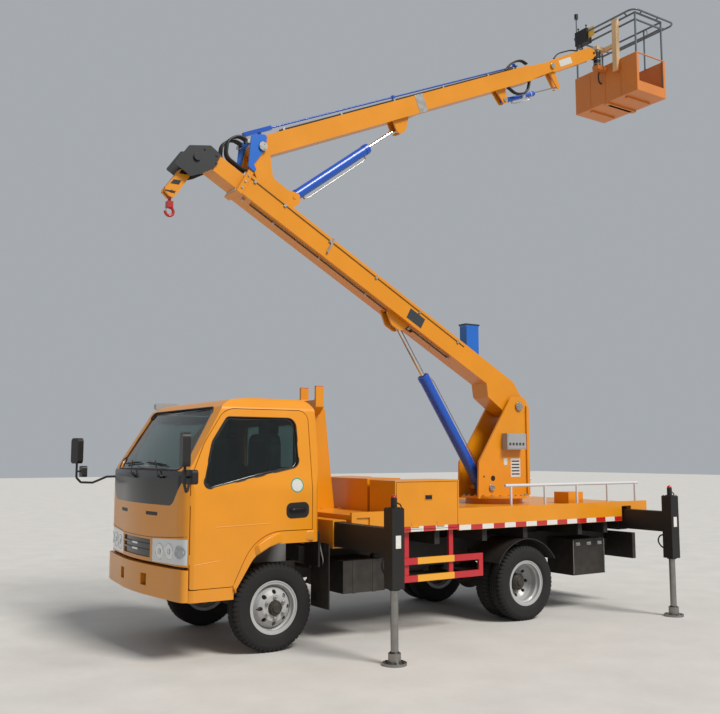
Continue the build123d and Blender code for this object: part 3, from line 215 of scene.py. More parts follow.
def metal(tree, place, colour, roughness, scratch=0.2):
    """Bare or plated metal: its own tint in 55 mm clouds, and scratches drawn at 3.3 mm to show."""
    clouds = add(tree, "ShaderNodeTexNoise", {"Vector": place, "Scale": per(55.6), "Detail": 8.0})
    tone = add(tree, "ShaderNodeMapRange", {"Value": clouds.outputs["Fac"], "To Min": 0.75, "To Max": 1.1})
    shade = add(tree, "ShaderNodeMix", {"Factor": 1.0, "A": colour, "B": tone.outputs["Result"]},
                data_type="RGBA", blend_type="MULTIPLY")
    sheen = add(tree, "ShaderNodeMapRange", {"Value": clouds.outputs["Fac"], "To Min": roughness,
                                             "To Max": roughness + scratch})
    fine = add(tree, "ShaderNodeTexNoise", {"Vector": place, "Scale": per(3.33), "Detail": 2.0})
    relief = add(tree, "ShaderNodeBump", {"Height": fine.outputs["Fac"], "Strength": 0.05,
                                          "Distance": 0.0005})
    return {"Base Color": shade.outputs["Result"], "Metallic": 1.0, "Roughness": sheen.outputs["Result"],
            "Normal": relief.outputs["Normal"]}


def clear(tree, place, colour, roughness=0.02, tint=1.0, ior=1.5):
    """Glass or clear plastic: see-through, with a film of dust in 170 mm clouds that catches light."""
    clouds = add(tree, "ShaderNodeTexNoise", {"Vector": place, "Scale": per(167), "Detail": 6.0})
    haze = add(tree, "ShaderNodeMapRange", {"Value": clouds.outputs["Fac"], "To Min": roughness,
                                            "To Max": roughness + 0.05})
    return {"Base Color": colour, "Roughness": haze.outputs["Result"], "Transmission Weight": tint,
            "IOR": ior}


def film(tree, place, colour):
    """Prismatic film: its honeycomb cells are drawn at 8 mm so that they show at a distance."""
    cells = add(tree, "ShaderNodeTexVoronoi", {"Vector": place, "Scale": per(8.33)})
    tone = add(tree, "ShaderNodeMapRange", {"Value": cells.outputs["Distance"], "To Min": 1.0,
                                            "To Max": 0.72})
    shade = add(tree, "ShaderNodeMix", {"Factor": 1.0, "A": colour, "B": tone.outputs["Result"]},
                data_type="RGBA", blend_type="MULTIPLY")
    return {"Base Color": shade.outputs["Result"], "Roughness": 0.25, "Coat Weight": 0.7}


def woven(tree, place, colour):
    """Woven seat cloth: crossed ribs, drawn at 5 mm so that they show, over a napped ground."""
    warp = add(tree, "ShaderNodeTexWave", {"Vector": place, "Scale": ribs(5.236)}, bands_direction="X")
    weft = add(tree, "ShaderNodeTexWave", {"Vector": place, "Scale": ribs(5.236)}, bands_direction="Y")
    both = add(tree, "ShaderNodeMath", {0: warp.outputs["Fac"], 1: weft.outputs["Fac"]},
               operation="MAXIMUM")
    shade = add(tree, "ShaderNodeMix", {"Factor": both.outputs["Value"], "A": colour, "B": SEAT_THREAD},
                data_type="RGBA")
    relief = add(tree, "ShaderNodeBump", {"Height": both.outputs["Value"], "Strength": 0.3,
                                          "Distance": 0.001})
    return {"Base Color": shade.outputs["Result"], "Roughness": 0.9, "Sheen Weight": 0.4,
            "Normal": relief.outputs["Normal"]}


def banded(tree, place, colour):
    """Guard enamel with one yellow band on each rail, between two places along the truck."""
    looks = enamel(tree, place, colour)
    split = add(tree, "ShaderNodeSeparateXYZ", {"Vector": place})
    off = add(tree, "ShaderNodeMath", {0: split.outputs["X"], 1: BAND_MIDDLE}, operation="SUBTRACT")
    far = add(tree, "ShaderNodeMath", {0: off.outputs["Value"]}, operation="ABSOLUTE")
    along = add(tree, "ShaderNodeMath", {0: far.outputs["Value"], 1: BAND_HALF}, operation="LESS_THAN")
    side = add(tree, "ShaderNodeMath", {0: split.outputs["Y"]}, operation="ABSOLUTE")
    rail = add(tree, "ShaderNodeMath", {0: side.outputs["Value"], 1: RAIL_FACE},
               operation="GREATER_THAN")
    both = add(tree, "ShaderNodeMath", {0: along.outputs["Value"], 1: rail.outputs["Value"]},
               operation="MULTIPLY")
    mixed = add(tree, "ShaderNodeMix", {"Factor": both.outputs["Value"], "A": looks["Base Color"],
                                        "B": BAND_YELLOW}, data_type="RGBA")
    looks["Base Color"] = mixed.outputs["Result"]
    return looks


def finishes(settings):
    """Every finish by name: the way it is made, its colour, and what differs from that way."""
    return {
        # Sprayed two-pack enamel, kept clean: an even, warm colour with a soft shine
        "orange_enamel": (enamel, settings.body_colour, {}),
        # Brushed-on chassis enamel: a dull black that road dust turns brown low down
        "black_chassis_enamel": (enamel, "0b0b0c", dict(roughness=0.6, coat=0.0, dust=0.22)),
        # The same enamel nearer the road: browner still, so that the axles' castings read
        "black_axle_enamel": (enamel, "0e0e0f", dict(roughness=0.6, coat=0.0, dust=0.25)),
        # Sprayed black enamel, newer than the chassis: darker, with a faint shine
        "black_outrigger_enamel": (enamel, "0a0a0b", dict(roughness=0.5, coat=0.0, dust=0.08)),
        # Sand-cast iron: flat dark grey under a good deal of dust
        "cast_iron": (enamel, "4a4845", dict(roughness=0.7, coat=0.0, dust=0.5)),
        # Moulded white plastic under a lens: bright and glossy
        "white_lamp_plastic": (enamel, "cdd0d2", dict(roughness=0.2, coat=0.8, dust=0.0)),
        # Moulded grained plastic: a soft mid grey with no glint
        "grey_interior_plastic": (rubber, "5c5c58", dict(roughness=0.55)),
        # Sprayed silver enamel on tube: pale grey with a broad highlight
        "silver_enamel": (enamel, "c9cbcd", dict(roughness=0.35, coat=0.3, dust=0.1)),
        # Sprayed guard enamel with a painted band: deep red, crossed by yellow
        "red_guard_enamel": (banded, settings.guard_colour, {}),
        # Moulded unpainted plastic, polished: near black with sharp highlights
        "gloss_black_plastic": (enamel, "040405", dict(roughness=0.2, coat=0.0, dust=0.0)),
        # Moulded grained plastic: near black, softly lit
        "satin_black_plastic": (rubber, "0a0a0b", dict(roughness=0.5)),
        # Sprayed wheel enamel: dusty silver that shows the disc's shape
        "silver_wheel_enamel": (enamel, "a9abac", dict(roughness=0.42, coat=0.2, dust=0.35)),
        # Moulded tyre rubber: matt charcoal, greyed in patches
        "tyre_rubber": (rubber, "0e0e0e", dict(roughness=0.85)),
        # Extruded seal rubber: a dark line with a dull edge
        "black_rubber_seal": (rubber, "0c0c0d", dict(roughness=0.6)),
        # Extruded hose rubber, wiped clean: black with a long soft highlight
        "hose_rubber": (rubber, "101012", dict(roughness=0.5)),
        # Ground steel: grey, with a streaky shine
        "ground_steel": (metal, "9c9a96", dict(roughness=0.3)),
        # Zinc-plated steel: paler and a little warmer than the ground steel
        "zinc_plated_steel": (metal, "b9b7b0", dict(roughness=0.3)),
        # Polished chrome plate: mirrors the room
        "chrome_plate": (metal, "d8dadc", dict(roughness=0.06, scratch=0.06)),
        # Sprayed machine enamel: strong blue with a clear highlight along each barrel
        "blue_cylinder_enamel": (enamel, settings.cylinder_colour,
                                 dict(roughness=0.3, coat=0.2, dust=0.0)),
        # Sprayed machine enamel on the knuckle and links: a lighter blue
        "light_blue_enamel": (enamel, "1763bf", dict(roughness=0.35, coat=0.2, dust=0.0)),
        # Sprayed machine enamel on the crane head: charcoal, with little shine
        "dark_grey_enamel": (enamel, "1f2124", dict(roughness=0.45, coat=0.1, dust=0.0)),
        # Sprayed cover enamel: a plain cool grey
        "light_grey_enamel": (enamel, "9b9ea0", dict(roughness=0.45, coat=0.2, dust=0.0)),
        # Dipped hook enamel: a small bright red
        "hook_red_enamel": (enamel, "a81d17", dict(roughness=0.35, coat=0.3, dust=0.0)),
        # Brushed paint, faded by the sun: a redder and chalkier orange
        "faded_orange_paint": (enamel, settings.tub_colour, dict(roughness=0.5, coat=0.15, dust=0.0)),
        # Brushed paint on the mast: matt beige
        "beige_paint": (enamel, "dcb98a", dict(roughness=0.5, coat=0.1, dust=0.0)),
        # Paint over steel pipe: brown lines along the boom
        "painted_pipe": (enamel, "5a4326", dict(roughness=0.4, coat=0.1, dust=0.0)),
        # Sprayed steel tube: blue grey with a thin highlight. The blue grey is painted shade: the tone
        # that the far rails take in shade, given to every rail
        "shaded_grey_tube": (enamel, "5f6870", dict(roughness=0.4, coat=0.2, dust=0.0)),
        # Sprayed enamel of the guard plate: clear yellow
        "yellow_enamel": (enamel, "e8b53a", dict(roughness=0.4, coat=0.3, dust=0.0)),
        # Prismatic film behind clear plastic: clear red, broken up by fine bright cells
        "red_reflective_film": (film, "c01a1c", {}),
        # The same film between the red lengths: a cool white that stands out on the orange
        "white_reflective_film": (film, "e4e2dc", {}),
        # Laminated label film: off white, so that a blank plate reads as a plate
        "blank_label_film": (film, "d9d8d2", {}),
        # Laminated label film: a soft green rim round the door's sticker
        "green_label_film": (film, "4f9c78", {}),
        # Laminated label film: charcoal, like a plate's printed bands
        "dark_label_film": (film, "33383c", {}),
        # Moulded acrylic lens, dyed through: red that light sinks into
        "red_lens_plastic": (clear, "e0301c", dict(roughness=0.12, tint=0.45)),
        # Moulded clear acrylic: bright, with what lies behind it softened
        "clear_lamp_plastic": (clear, "eef2f4", dict(roughness=0.05, tint=0.85)),
        # Float glass, lightly tinted: a cool grey view into the cab under a clean sheen
        "tinted_glass": (clear, "8fa39f", dict(roughness=0.01, tint=1.0, ior=1.45)),
        # Fired enamel printed on glass: a glossy black border
        "black_glass_enamel": (enamel, "060607", dict(roughness=0.12, coat=0.9, dust=0.0)),
        # Woven polyester cloth: dark grey with paler ribs and no shine
        "grey_seat_cloth": (woven, "3a3d42", {}),
        # Sealed concrete: a pale, matt ground
        "pale_floor": (enamel, "c9c7c2", dict(roughness=0.8, coat=0.0, dust=0.1)),
    }


def finish(name):
    """The named finish, made the first time that it is asked for."""
    material = bpy.data.materials.get(name)
    if material is None:
        way, colour, options = finishes(bpy.context.scene.cherry_picker)[name]
        colour = linear(colour) if isinstance(colour, str) else list(colour)
        material = shaded(name, lambda tree, place: way(tree, place, colour, **options))
    return material


# Places and shapes

def at(x, y, z):
    """A point of the row frame, in metres, from millimetres in the axle frame."""
    return Vector((x / 1000 + AXLE_X, y / 1000, z / 1000))


def upright(y, rows):
    """Points at one distance across the truck, from rows of (x, z)."""
    return [at(x, y, z) for x, z in rows]


def span(side, low, high):
    """The limits in y between two distances from the middle, on one side."""
    return sorted((side * low, side * high))


def boom(pin, angle, rearward):
    """A function that places (along, up, y) millimetres on a boom with that pin and angle."""
    turn = math.radians(angle)
    run = (-math.cos(turn), math.sin(turn)) if rearward else (math.cos(turn), math.sin(turn))
    rise = (math.sin(turn), math.cos(turn)) if rearward else (-math.sin(turn), math.cos(turn))
    return lambda along, up, y: at(pin[0] + along * run[0] + up * rise[0], y,
                                   pin[1] + along * run[1] + up * rise[1])


LOWER = boom(LOWER_HEAD, 29.1, False)
UPPER = boom(KNUCKLE_PIN, 24.1, True)
JIB = boom(ELBOW_PIN, 26.4, True)


def circle(count, radius=1.0, start=0.0):
    """Evenly spaced (across, up) places round a circle, the first at a share of a step."""
    turns = (2 * math.pi * (k + start) / count for k in range(count))
    return [(radius * math.cos(a), radius * math.sin(a)) for a in turns]


def rounded_path(points, bend, steps=6, closed=False):
    """The points with each corner turned into a soft bend, lengths in metres."""
    result = []
    count = len(points)
    for index, here in enumerate(points):
        if not closed and index in (0, count - 1):
            result.append(here)
            continue
        before, after = points[index - 1], points[(index + 1) % count]
        reach_in = min(bend, (here - before).length / 2)
        reach_out = min(bend, (after - here).length / 2)
        start = here + (before - here).normalized() * reach_in
        end = here + (after - here).normalized() * reach_out
        for step in range(steps + 1):
            t = step / steps
            result.append(start * (1 - t) ** 2 + here * 2 * t * (1 - t) + end * t * t)
    return result


def skin(bm, rings, wrap=False):
    """Faces between each ring of vertices and the next, and back to the first if wrapped."""
    for low, high in zip(rings, rings[1:] + (rings[:1] if wrap else [])):
        for k in range(len(low)):
            after = (k + 1) % len(low)
            bm.faces.new((low[k], low[after], high[after], high[k]))


def tube(bm, points, radius, sides=10, closed=False):
    """A round tube along the points, with its section carried along without twist."""
    count = len(points)
    rings = []
    side = None
    for index, here in enumerate(points):
        before = points[index - 1] if index or closed else here
        after = points[(index + 1) % count] if index < count - 1 or closed else here
        run = (after - before).normalized()
        if side is None:
            side = run.orthogonal().normalized()
        side = (side - run * side.dot(run)).normalized()
        other = run.cross(side)
        rings.append([bm.verts.new(here + (side * c + other * s) * radius) for c, s in circle(sides)])
    if closed:
        first, last = rings[0], rings[-1]
        shift = min(range(sides), key=lambda k: (last[0].co - first[k].co).length)
        skin(bm, rings + [first[shift:] + first[:shift]])
    else:
        skin(bm, rings)
        bm.faces.new(rings[0][::-1])
        bm.faces.new(rings[-1])


def hose(bm, points, bend, radius):
    """A tube along the points with soft bends, lengths in metres."""
    tube(bm, rounded_path(points, bend), radius)


def prism(bm, corners, run):
    """A prism on a flat outline, along the run vector."""
    low = [bm.verts.new(point) for point in corners]
    high = [bm.verts.new(point + run) for point in corners]
    bm.faces.new(low[::-1])
    bm.faces.new(high)
    skin(bm, [low, high])


def block(bm, x, y, z):
    """A box between limits in the axle frame."""
    corners = [at(x[0], y[0], z[0]), at(x[1], y[0], z[0]), at(x[1], y[1], z[0]), at(x[0], y[1], z[0])]
    prism(bm, corners, UP * ((z[1] - z[0]) / 1000))


def drum(bm, centre, axis, radius, length, sides=32, top=1.0):
    """A cylinder or cone centred on a point, with its axis along a vector."""
    turn = axis.to_track_quat("Z", "Y").to_matrix().to_4x4()
    bmesh.ops.create_cone(bm, cap_ends=True, segments=sides, radius1=radius, radius2=radius * top,
                          depth=length, matrix=Matrix.Translation(centre) @ turn)


def sleeve(bm, centre, axis, inner, outer, length, sides=40):
    """A round sleeve centred on a point, with its axis along a vector."""
    turn = axis.to_track_quat("Z", "Y").to_matrix()
    corners = ((inner, -length / 2), (outer, -length / 2), (outer, length / 2), (inner, length / 2))
    skin(bm, [[bm.verts.new(centre + turn @ Vector((reach * c, reach * s, up))) for reach, up in corners]
              for c, s in circle(sides)], True)


def dome(bm, centre, radius, squeeze=1.0):
    """A ball, squeezed in height."""
    bmesh.ops.create_uvsphere(bm, u_segments=24, v_segments=14, radius=radius,
                              matrix=Matrix.Translation(centre) @ Matrix.Diagonal((1, 1, squeeze, 1)))


def made(name, bm, material, body, bevel=0.0, angle=35):
    """The finished piece: clean normals, soft edges, its material, and its CAD body if one is named."""
    bmesh.ops.recalc_face_normals(bm, faces=bm.faces)
    mesh = bpy.data.meshes.new(name)
    bm.to_mesh(mesh)
    bm.free()
    mesh.polygons.foreach_set("use_smooth", [True] * len(mesh.polygons))
    mesh.set_sharp_from_angle(angle=math.radians(angle))
    mesh.materials.append(finish(material))
    obj = bpy.data.objects.new(name, mesh)
    bpy.context.scene.collection.objects.link(obj)
    if bevel:
        soft = obj.modifiers.new("soft edges", "BEVEL")
        soft.width = bevel
        soft.segments = 2
        soft.limit_method = "ANGLE"
        soft.harden_normals = True
    if body:
        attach(obj, body)
    return obj


def plates(name, rows, material, body, bevel=0.0):
    """A piece of flat plates, each between limits in x, y and z."""
    bm = bmesh.new()
    for row in rows:
        block(bm, *row)
    made(name, bm, material, body, bevel)


def surface(*nodes):
    """A tree to cast rays at, of the named CAD nodes as they stand."""
    verts, faces = [], []
    for name in nodes:
        obj = frame["nodes"][name]
        base = len(verts)
        verts += [obj.matrix_world @ v.co for v in obj.data.vertices]
        faces += [[base + i for i in p.vertices] for p in obj.data.polygons]
    return BVHTree.FromPolygons(verts, faces)


def landed(tree, start, towards, lift=0.0):
    """Where a ray from the start meets the surface, lifted off it by a distance in metres."""
    place, normal, _, _ = tree.ray_cast(start, towards)
    if place is None:
        raise RuntimeError("a fitting found no surface at %s" % [round(c, 3) for c in start])
    if normal.dot(towards) > 0:
        normal = -normal
    return place + normal * lift


def outline(rows, steps=6, spacing=0):
    """Rows of (across, up, corner radius) as points, corners rounded and long runs divided."""
    points = []
    for index, (across, up, radius) in enumerate(rows):
        here = Vector((across, up))
        before, after = Vector(rows[index - 1][:2]), Vector(rows[(index + 1) % len(rows)][:2])
        back, ahead = (before - here).normalized(), (after - here).normalized()
        half = back.angle(ahead) / 2
        start, end = here + back * radius / math.tan(half), here + ahead * radius / math.tan(half)
        centre = here + (back + ahead).normalized() * radius / math.sin(half)
        for step in range(steps + 1):
            points.append(centre + (start.lerp(end, step / steps) - centre).normalized() * radius)
    if not spacing:
        return points
    dense = []
    for index, here in enumerate(points):
        after = points[(index + 1) % len(points)]
        parts = max(1, round((after - here).length / spacing))
        dense += [here.lerp(after, part / parts) for part in range(parts)]
    return dense


def oval(across, up, wide, high, sides=28):
    """The points of an ellipse."""
    return [Vector((across + wide * c, up + high * s)) for c, s in circle(sides)]


def from_side(side):
    """Where rays start and run that meet the truck's side, from (x, z) places."""
    return (lambda p: at(p[0], side * 2500, p[1])), Vector((0, -side, 0))


# Where rays start and run that meet the cab's front and back, from (y, z) places
FROM_FRONT = (lambda p: at(3000, p[0], p[1])), Vector((-1, 0, 0))
FROM_REAR = (lambda p: at(-2000, p[0], p[1])), AHEAD


def moulded(bm, tree, points, rays, radius, lift=0.0, closed=True):
    """A round strip along points that are landed on the surface."""
    spot, towards = rays
    tube(bm, [landed(tree, spot(p), towards, lift) for p in points], radius, 8, closed)


def patch(bm, tree, points, rays, thick, sink=0.003):
    """A thin plate that follows the surface, from a little inside it to its thickness outside."""
    spot, towards = rays
    middle = sum(points, Vector((0, 0))) / len(points)
    rings = [[bm.verts.new(landed(tree, spot(middle + (p - middle) * scale), towards, lift))
              for p in points] for scale, lift in ((1.0, -sink), (1.0, thick), (0.5, thick))]
    centre = bm.verts.new(landed(tree, spot(middle), towards, thick))
    skin(bm, rings)
    inner = rings[-1]
    for k in range(len(points)):
        bm.faces.new((inner[k], inner[(k + 1) % len(points)], centre))
    bm.faces.new(rings[0][::-1])


# Finishes of the CAD nodes

SLOTS = {
    "body_paint": "orange_enamel", "chassis_paint": "black_chassis_enamel",
    "axle_paint": "black_axle_enamel", "outrigger_paint": "black_outrigger_enamel",
    "cast_iron": "cast_iron", "lamp_plastic": "white_lamp_plastic",
    "interior_plastic": "grey_interior_plastic", "rail_silver": "silver_enamel",
    "guard_red": "red_guard_enamel", "black_plastic": "gloss_black_plastic",
    "rim_silver": "silver_wheel_enamel", "tyre": "tyre_rubber", "jack_steel": "ground_steel",
    "light_blue": "light_blue_enamel", "blue_paint": "blue_cylinder_enamel",
    "dark_grey": "dark_grey_enamel", "hook_red": "hook_red_enamel",
    # The basket's rails take a blue grey tube finish that is painted shade
    "tub_paint": "faded_orange_paint", "rail_beige": "shaded_grey_tube",
    "chrome": "chrome_plate", "glass": "tinted_glass",
}

# Node, second finish, and the limits in x, y and z that its faces' centres keep to
REPAINTS = [
    ("cowl_and_mirrors", "light_grey_enamel", (200, 480), (-1000, -925), (2120, 2210)),
    ("cowl_and_mirrors", "satin_black_plastic", (846, 1200), (940, 1600), (1300, 1900)),
    ("cowl_and_mirrors", "satin_black_plastic", (846, 1200), (-1600, -940), (1300, 1900)),
    ("turret", "light_grey_enamel", (-3495, -3200), (181, 275), (1735, 1925)),
    ("grille_and_lamps", "gloss_black_plastic", (700, 1200), (-334, 334), (800, 970)),
    ("grille_and_lamps", "chrome_plate", (964, 1200), (-334, 334), (857, 875)),
    ("grille_and_lamps", "chrome_plate", (964, 1200), (-334, 334), (907, 925)),
    ("boom_rest", "hook_red_enamel", (-880, -770), (-170, 170), (2352, 2362)),
    ("basket_rails", "satin_black_plastic", (-5336, -5230), (-448, -234), (7250, 7452)),
    ("subframe", "orange_enamel", (-675, -525), (-905, 905), (850, 1100)),
    ("basket_rails", "satin_black_plastic", (-5360, -5280), (-520, -460), (7698, 7762)),
    ("basket_tub", "beige_paint", (-5300, -5238), (188, 262), (6835, 7374)),
    ("basket_tub", "beige_paint", (-5292, -5110), (-50, 262), (6990, 7060)),
    ("underbody_fittings", "red_lens_plastic", (-4720, -4701), (-720, 720), (595, 705)),
    ("crane_head", "orange_enamel", (560, 900), (-51, 51), (4000, 4345)),
]

# Rim, its axle, and the radius and the distance across that its black hub keeps to
HUBS = [("front_rim_", 0, 70, 770), ("rear_rims_", REAR_AXLE, 87, 716)]


def paint_nodes():
    """Gives every CAD node its finish, and some of its faces a second one."""
    for part in frame["record"]["subparts"]:
        mesh = frame["nodes"][part["node"]].data
        mesh.materials.clear()
        mesh.materials.append(finish(SLOTS[part["material_slot"]]))
    for node, name, *limits in REPAINTS:
        mesh = frame["nodes"][node].data
        mesh.materials.append(finish(name))
        index = len(mesh.materials) - 1
        for face in mesh.polygons:
            centre = ((face.center.x - AXLE_X) * 1000, face.center.y * 1000, face.center.z * 1000)
            if all(low < value < high for value, (low, high) in zip(centre, limits)):
                face.material_index = index
    for side, word in SIDES:
        for node, axle, radius, reach in HUBS:
            mesh = frame["nodes"][node + word].data
            mesh.materials.append(finish("black_axle_enamel"))
            for face in mesh.polygons:
                x, z = (face.center.x - AXLE_X) * 1000 - axle, face.center.z * 1000 - WHEEL_RADIUS
                if math.hypot(x, z) < radius and side * face.center.y * 1000 > reach:
                    face.material_index = 1


class CHERRY_OT_finishes(bpy.types.Operator):
    """Gives every CAD node its finish"""
    bl_idname = "cherry.finishes"
    bl_label = "Finishes"

    def execute(self, context):
        paint_nodes()
        return {"FINISHED"}


# Wheels

# Half of a tyre's section from its bead to its middle: distance from the middle, radius, and how
# the tread cuts it, where 0 is plain, 1 is a groove's floor and 2 is cut by the lugs
HALF_TREAD = [
    (67, 205.5, 0), (73, 228, 0), (80, 236, 0), (88, 252, 0), (92.5, 292, 0), (90, 318, 0),
    (90.5, 322, 0), (86, 335, 0), (76, 358, 2), (70, 368, 2), (56, 374.5, 2), (36, 375, 2),
    (34, 375, 1), (28, 375, 1), (26, 375, 0), (4, 375, 0), (2.5, 375, 1)]
TREAD_ROWS = [(-offset, radius, kind) for offset, radius, kind in HALF_TREAD] + HALF_TREAD[::-1]
LUGS = 54
# Places round one lug, as shares of it, and whether the shoulder is cut there
LUG_STEPS = ((0.0, False), (0.66, False), (0.72, True), (0.94, True))

# Wheel, its CAD body, axle, nut circle, face of the disc, nut length, and face of the hub
WHEEL_ROWS = [("front", "front_wheel_", 0, 90, 816, 24, 848),
              ("rear", "rear_wheels_", REAR_AXLE, 101, 724, 26, 807)]
WHEEL_NUTS = 6
VALVE_REACH = 168


def treaded(bm, x, y, depth):
    """A radial tyre with three grooves round it and lugs cut across its shoulders."""
    grid = []
    for lug in range(LUGS):
        for share, cut in LUG_STEPS:
            turn = 2 * math.pi * (lug + share) / LUGS
            out = Vector((math.cos(turn), 0, math.sin(turn)))
            grid.append([bm.verts.new(at(x, y + offset, WHEEL_RADIUS) + out
                                      * (radius / 1000 - (depth if kind == 1 or kind == 2 and cut else 0)))
                         for offset, radius, kind in TREAD_ROWS])
    skin(bm, grid, True)


def wheel_fittings():
    """Nuts, a hub cap and a valve on each outer wheel disc."""
    for side, word in SIDES:
        out = Vector((0, side, 0))
        for place, body, axle, reach, face, length, hub in WHEEL_ROWS:
            bm = bmesh.new()
            for dx, dz in circle(WHEEL_NUTS, reach, 0.5):
                centre = at(axle + dx, side * (face + length / 2), WHEEL_RADIUS + dz)
                drum(bm, centre, out, 0.0135, length / 1000, 6)
                drum(bm, centre, out, 0.018, 0.006, 20)
                drum(bm, centre + out * (length / 2000 + 0.004), out, 0.008, 0.01, 12)
            made(place + "_wheel_nuts_" + word, bm, "zinc_plated_steel", body + word, 0.001)
            bm = bmesh.new()
            drum(bm, at(axle, side * (hub + 6), WHEEL_RADIUS), out, 0.046, 0.014, 36, 0.75)
            drum(bm, at(axle, side * (hub - 12), WHEEL_RADIUS), out, 0.056, 0.01, 36)
            for dx, dz in circle(WHEEL_NUTS, 52):
                drum(bm, at(axle + dx, side * (hub - 5), WHEEL_RADIUS + dz), out, 0.006, 0.012, 6)
            made(place + "_hub_cap_" + word, bm, "black_axle_enamel", body + word, 0.0015)
            bm = bmesh.new()
            base = at(axle + VALVE_REACH, side * (face - 20), WHEEL_RADIUS)
            tube(bm, [base, base + Vector((0.006, side * 0.02, 0)), base + out * 0.05], 0.004)
            made(place + "_valve_" + word, bm, "black_rubber_seal", body + word)


class CHERRY_OT_wheels(bpy.types.Operator):
    """Builds the treaded tyres and the wheels' nuts, caps and valves"""
    bl_idname = "cherry.wheels"
    bl_label = "Wheels"

    def execute(self, context):
        depth = context.scene.cherry_picker.tread_depth
        for side, word in SIDES:
            bm = bmesh.new()
            treaded(bm, 0, side * TYRE_Y, depth)
            tyre = made("front_tyre_treaded_" + word, bm, "tyre_rubber", "front_wheel_" + word)
            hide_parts("front_tyre_" + word)
            bm = bmesh.new()
            for y in TWIN_TYRES_Y:
                treaded(bm, REAR_AXLE, side * y, depth)
            tyres = made("rear_tyres_treaded_" + word, bm, "tyre_rubber", "rear_wheels_" + word)
            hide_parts("rear_tyres_" + word)
        wheel_fittings()
        return {"FINISHED"}


# Cab

# Outlines of the panes, as (along or across, up, corner radius)
WINDOW_ROWS = [(-176, 1580, 70), (740, 1390, 50), (636, 1790, 200), (490, 2000, 50), (-166, 2000, 80)]
SCREEN_ROWS = [(-815, 1552, 90), (-722, 2088, 80), (722, 2088, 80), (815, 1552, 90)]
REAR_GLASS_ROWS = [(-520, 1560, 60), (-520, 1960, 60), (520, 1960, 60), (520, 1560, 60)]
HANDLE_CUP_ROWS = [(-260, 1140, 50), (-37, 1134, 50), (-37, 1268, 50), (-260, 1275, 50)]

# Outer and inner edge of the arch moulding, as (x, z), from its rear end to its front one
FLARE_ROWS = [((-300, 1032), (-300, 940)), ((-160, 1033), (-160, 938)), ((-40, 1032), (-40, 934)),
              ((60, 1020), (55, 928)), ((150, 990), (128, 905)), ((241, 938), (217, 858)),
              ((300, 890), (270, 812)), ((344, 842), (309, 761)), ((380, 790), (345, 712)),
              ((411, 726), (376, 655)), ((438, 662), (410, 600)), ((458, 598), (435, 548))]
# Its section: share of the way from the outer edge to the inner one, and how proud it stands
FLARE_SECTION = ((0.0, -4), (0.03, 14), (0.12, 24), (0.8, 30), (0.96, 24), (1.0, 8), (1.0, -20),
                 (0.5, -30))

# Creases pressed in the door and points of its grip, as (x, z), and the grip's height off the door
DOOR_CREASES = (((620, 1089), (400, 1095), (106, 1103)), ((805, 796), (700, 806), (570, 818)))
GRIP_ROWS = (((-70, 1210), 0.002), ((-84, 1212), 0.026), ((-210, 1216), 0.026), ((-226, 1216), 0.002))
STICKER = (-144, 1418)

# Wiper, its pivot, its elbow and the ends of its blade, as (y, z)
WIPER_ROWS = (("left", (520, 1500), (250, 1610), ((470, 1588), (30, 1606))),
              ("right", (-90, 1500), (-360, 1610), ((-140, 1606), (-580, 1588))))
BLADE_STEPS = 8

# Lamp, its distance from the middle, half its height, and its finish
LAMP_ROWS = (("dipped", 500, 62, "chrome_plate"), ("main", 665, 62, "chrome_plate"),
             ("turn", 830, 50, "clear_lamp_plastic"))
FRONT_SEAM = [(-905, 1022), (-700, 1006), (-345, 985), (345, 985), (700, 1006), (905, 1022)]
SEAM_STEPS = 6


def arch_flare(side, word, shell):
    """The raised moulding round the front wheel arch."""
    bm = bmesh.new()
    spot, towards = from_side(side)
    rings = []
    for outer, inner in FLARE_ROWS:
        edge = landed(shell, spot(outer), towards)
        ring = []
        for share, proud in FLARE_SECTION:
            x = outer[0] + (inner[0] - outer[0]) * share
            z = outer[1] + (inner[1] - outer[1]) * share
            ring.append(bm.verts.new((x / 1000 + AXLE_X, edge.y + side * proud / 1000, z / 1000)))
        rings.append(ring)
    skin(bm, rings)
    bm.faces.new(rings[0][::-1])
    bm.faces.new(rings[-1])
    made("arch_flare_" + word, bm, "orange_enamel", "chassis", 0.004, 40)


def glass_edge(name, tree, rows, rays, inset, body):
    """The black enamel band printed round the edge of a pane."""
    points = outline(rows, 6, 50)
    middle = sum(points, Vector((0, 0))) / len(points)
    spot, towards = rays
    bm = bmesh.new()
    skin(bm, [[bm.verts.new(landed(tree, spot(p + (middle - p).normalized() * pull), towards, 0.0012))
               for p in points] for pull in (6, inset)])
    band = made(name, bm, "black_glass_enamel", body)
    thick = band.modifiers.new("thickness", "SOLIDIFY")
    thick.thickness = 0.0008
    thick.offset = -1


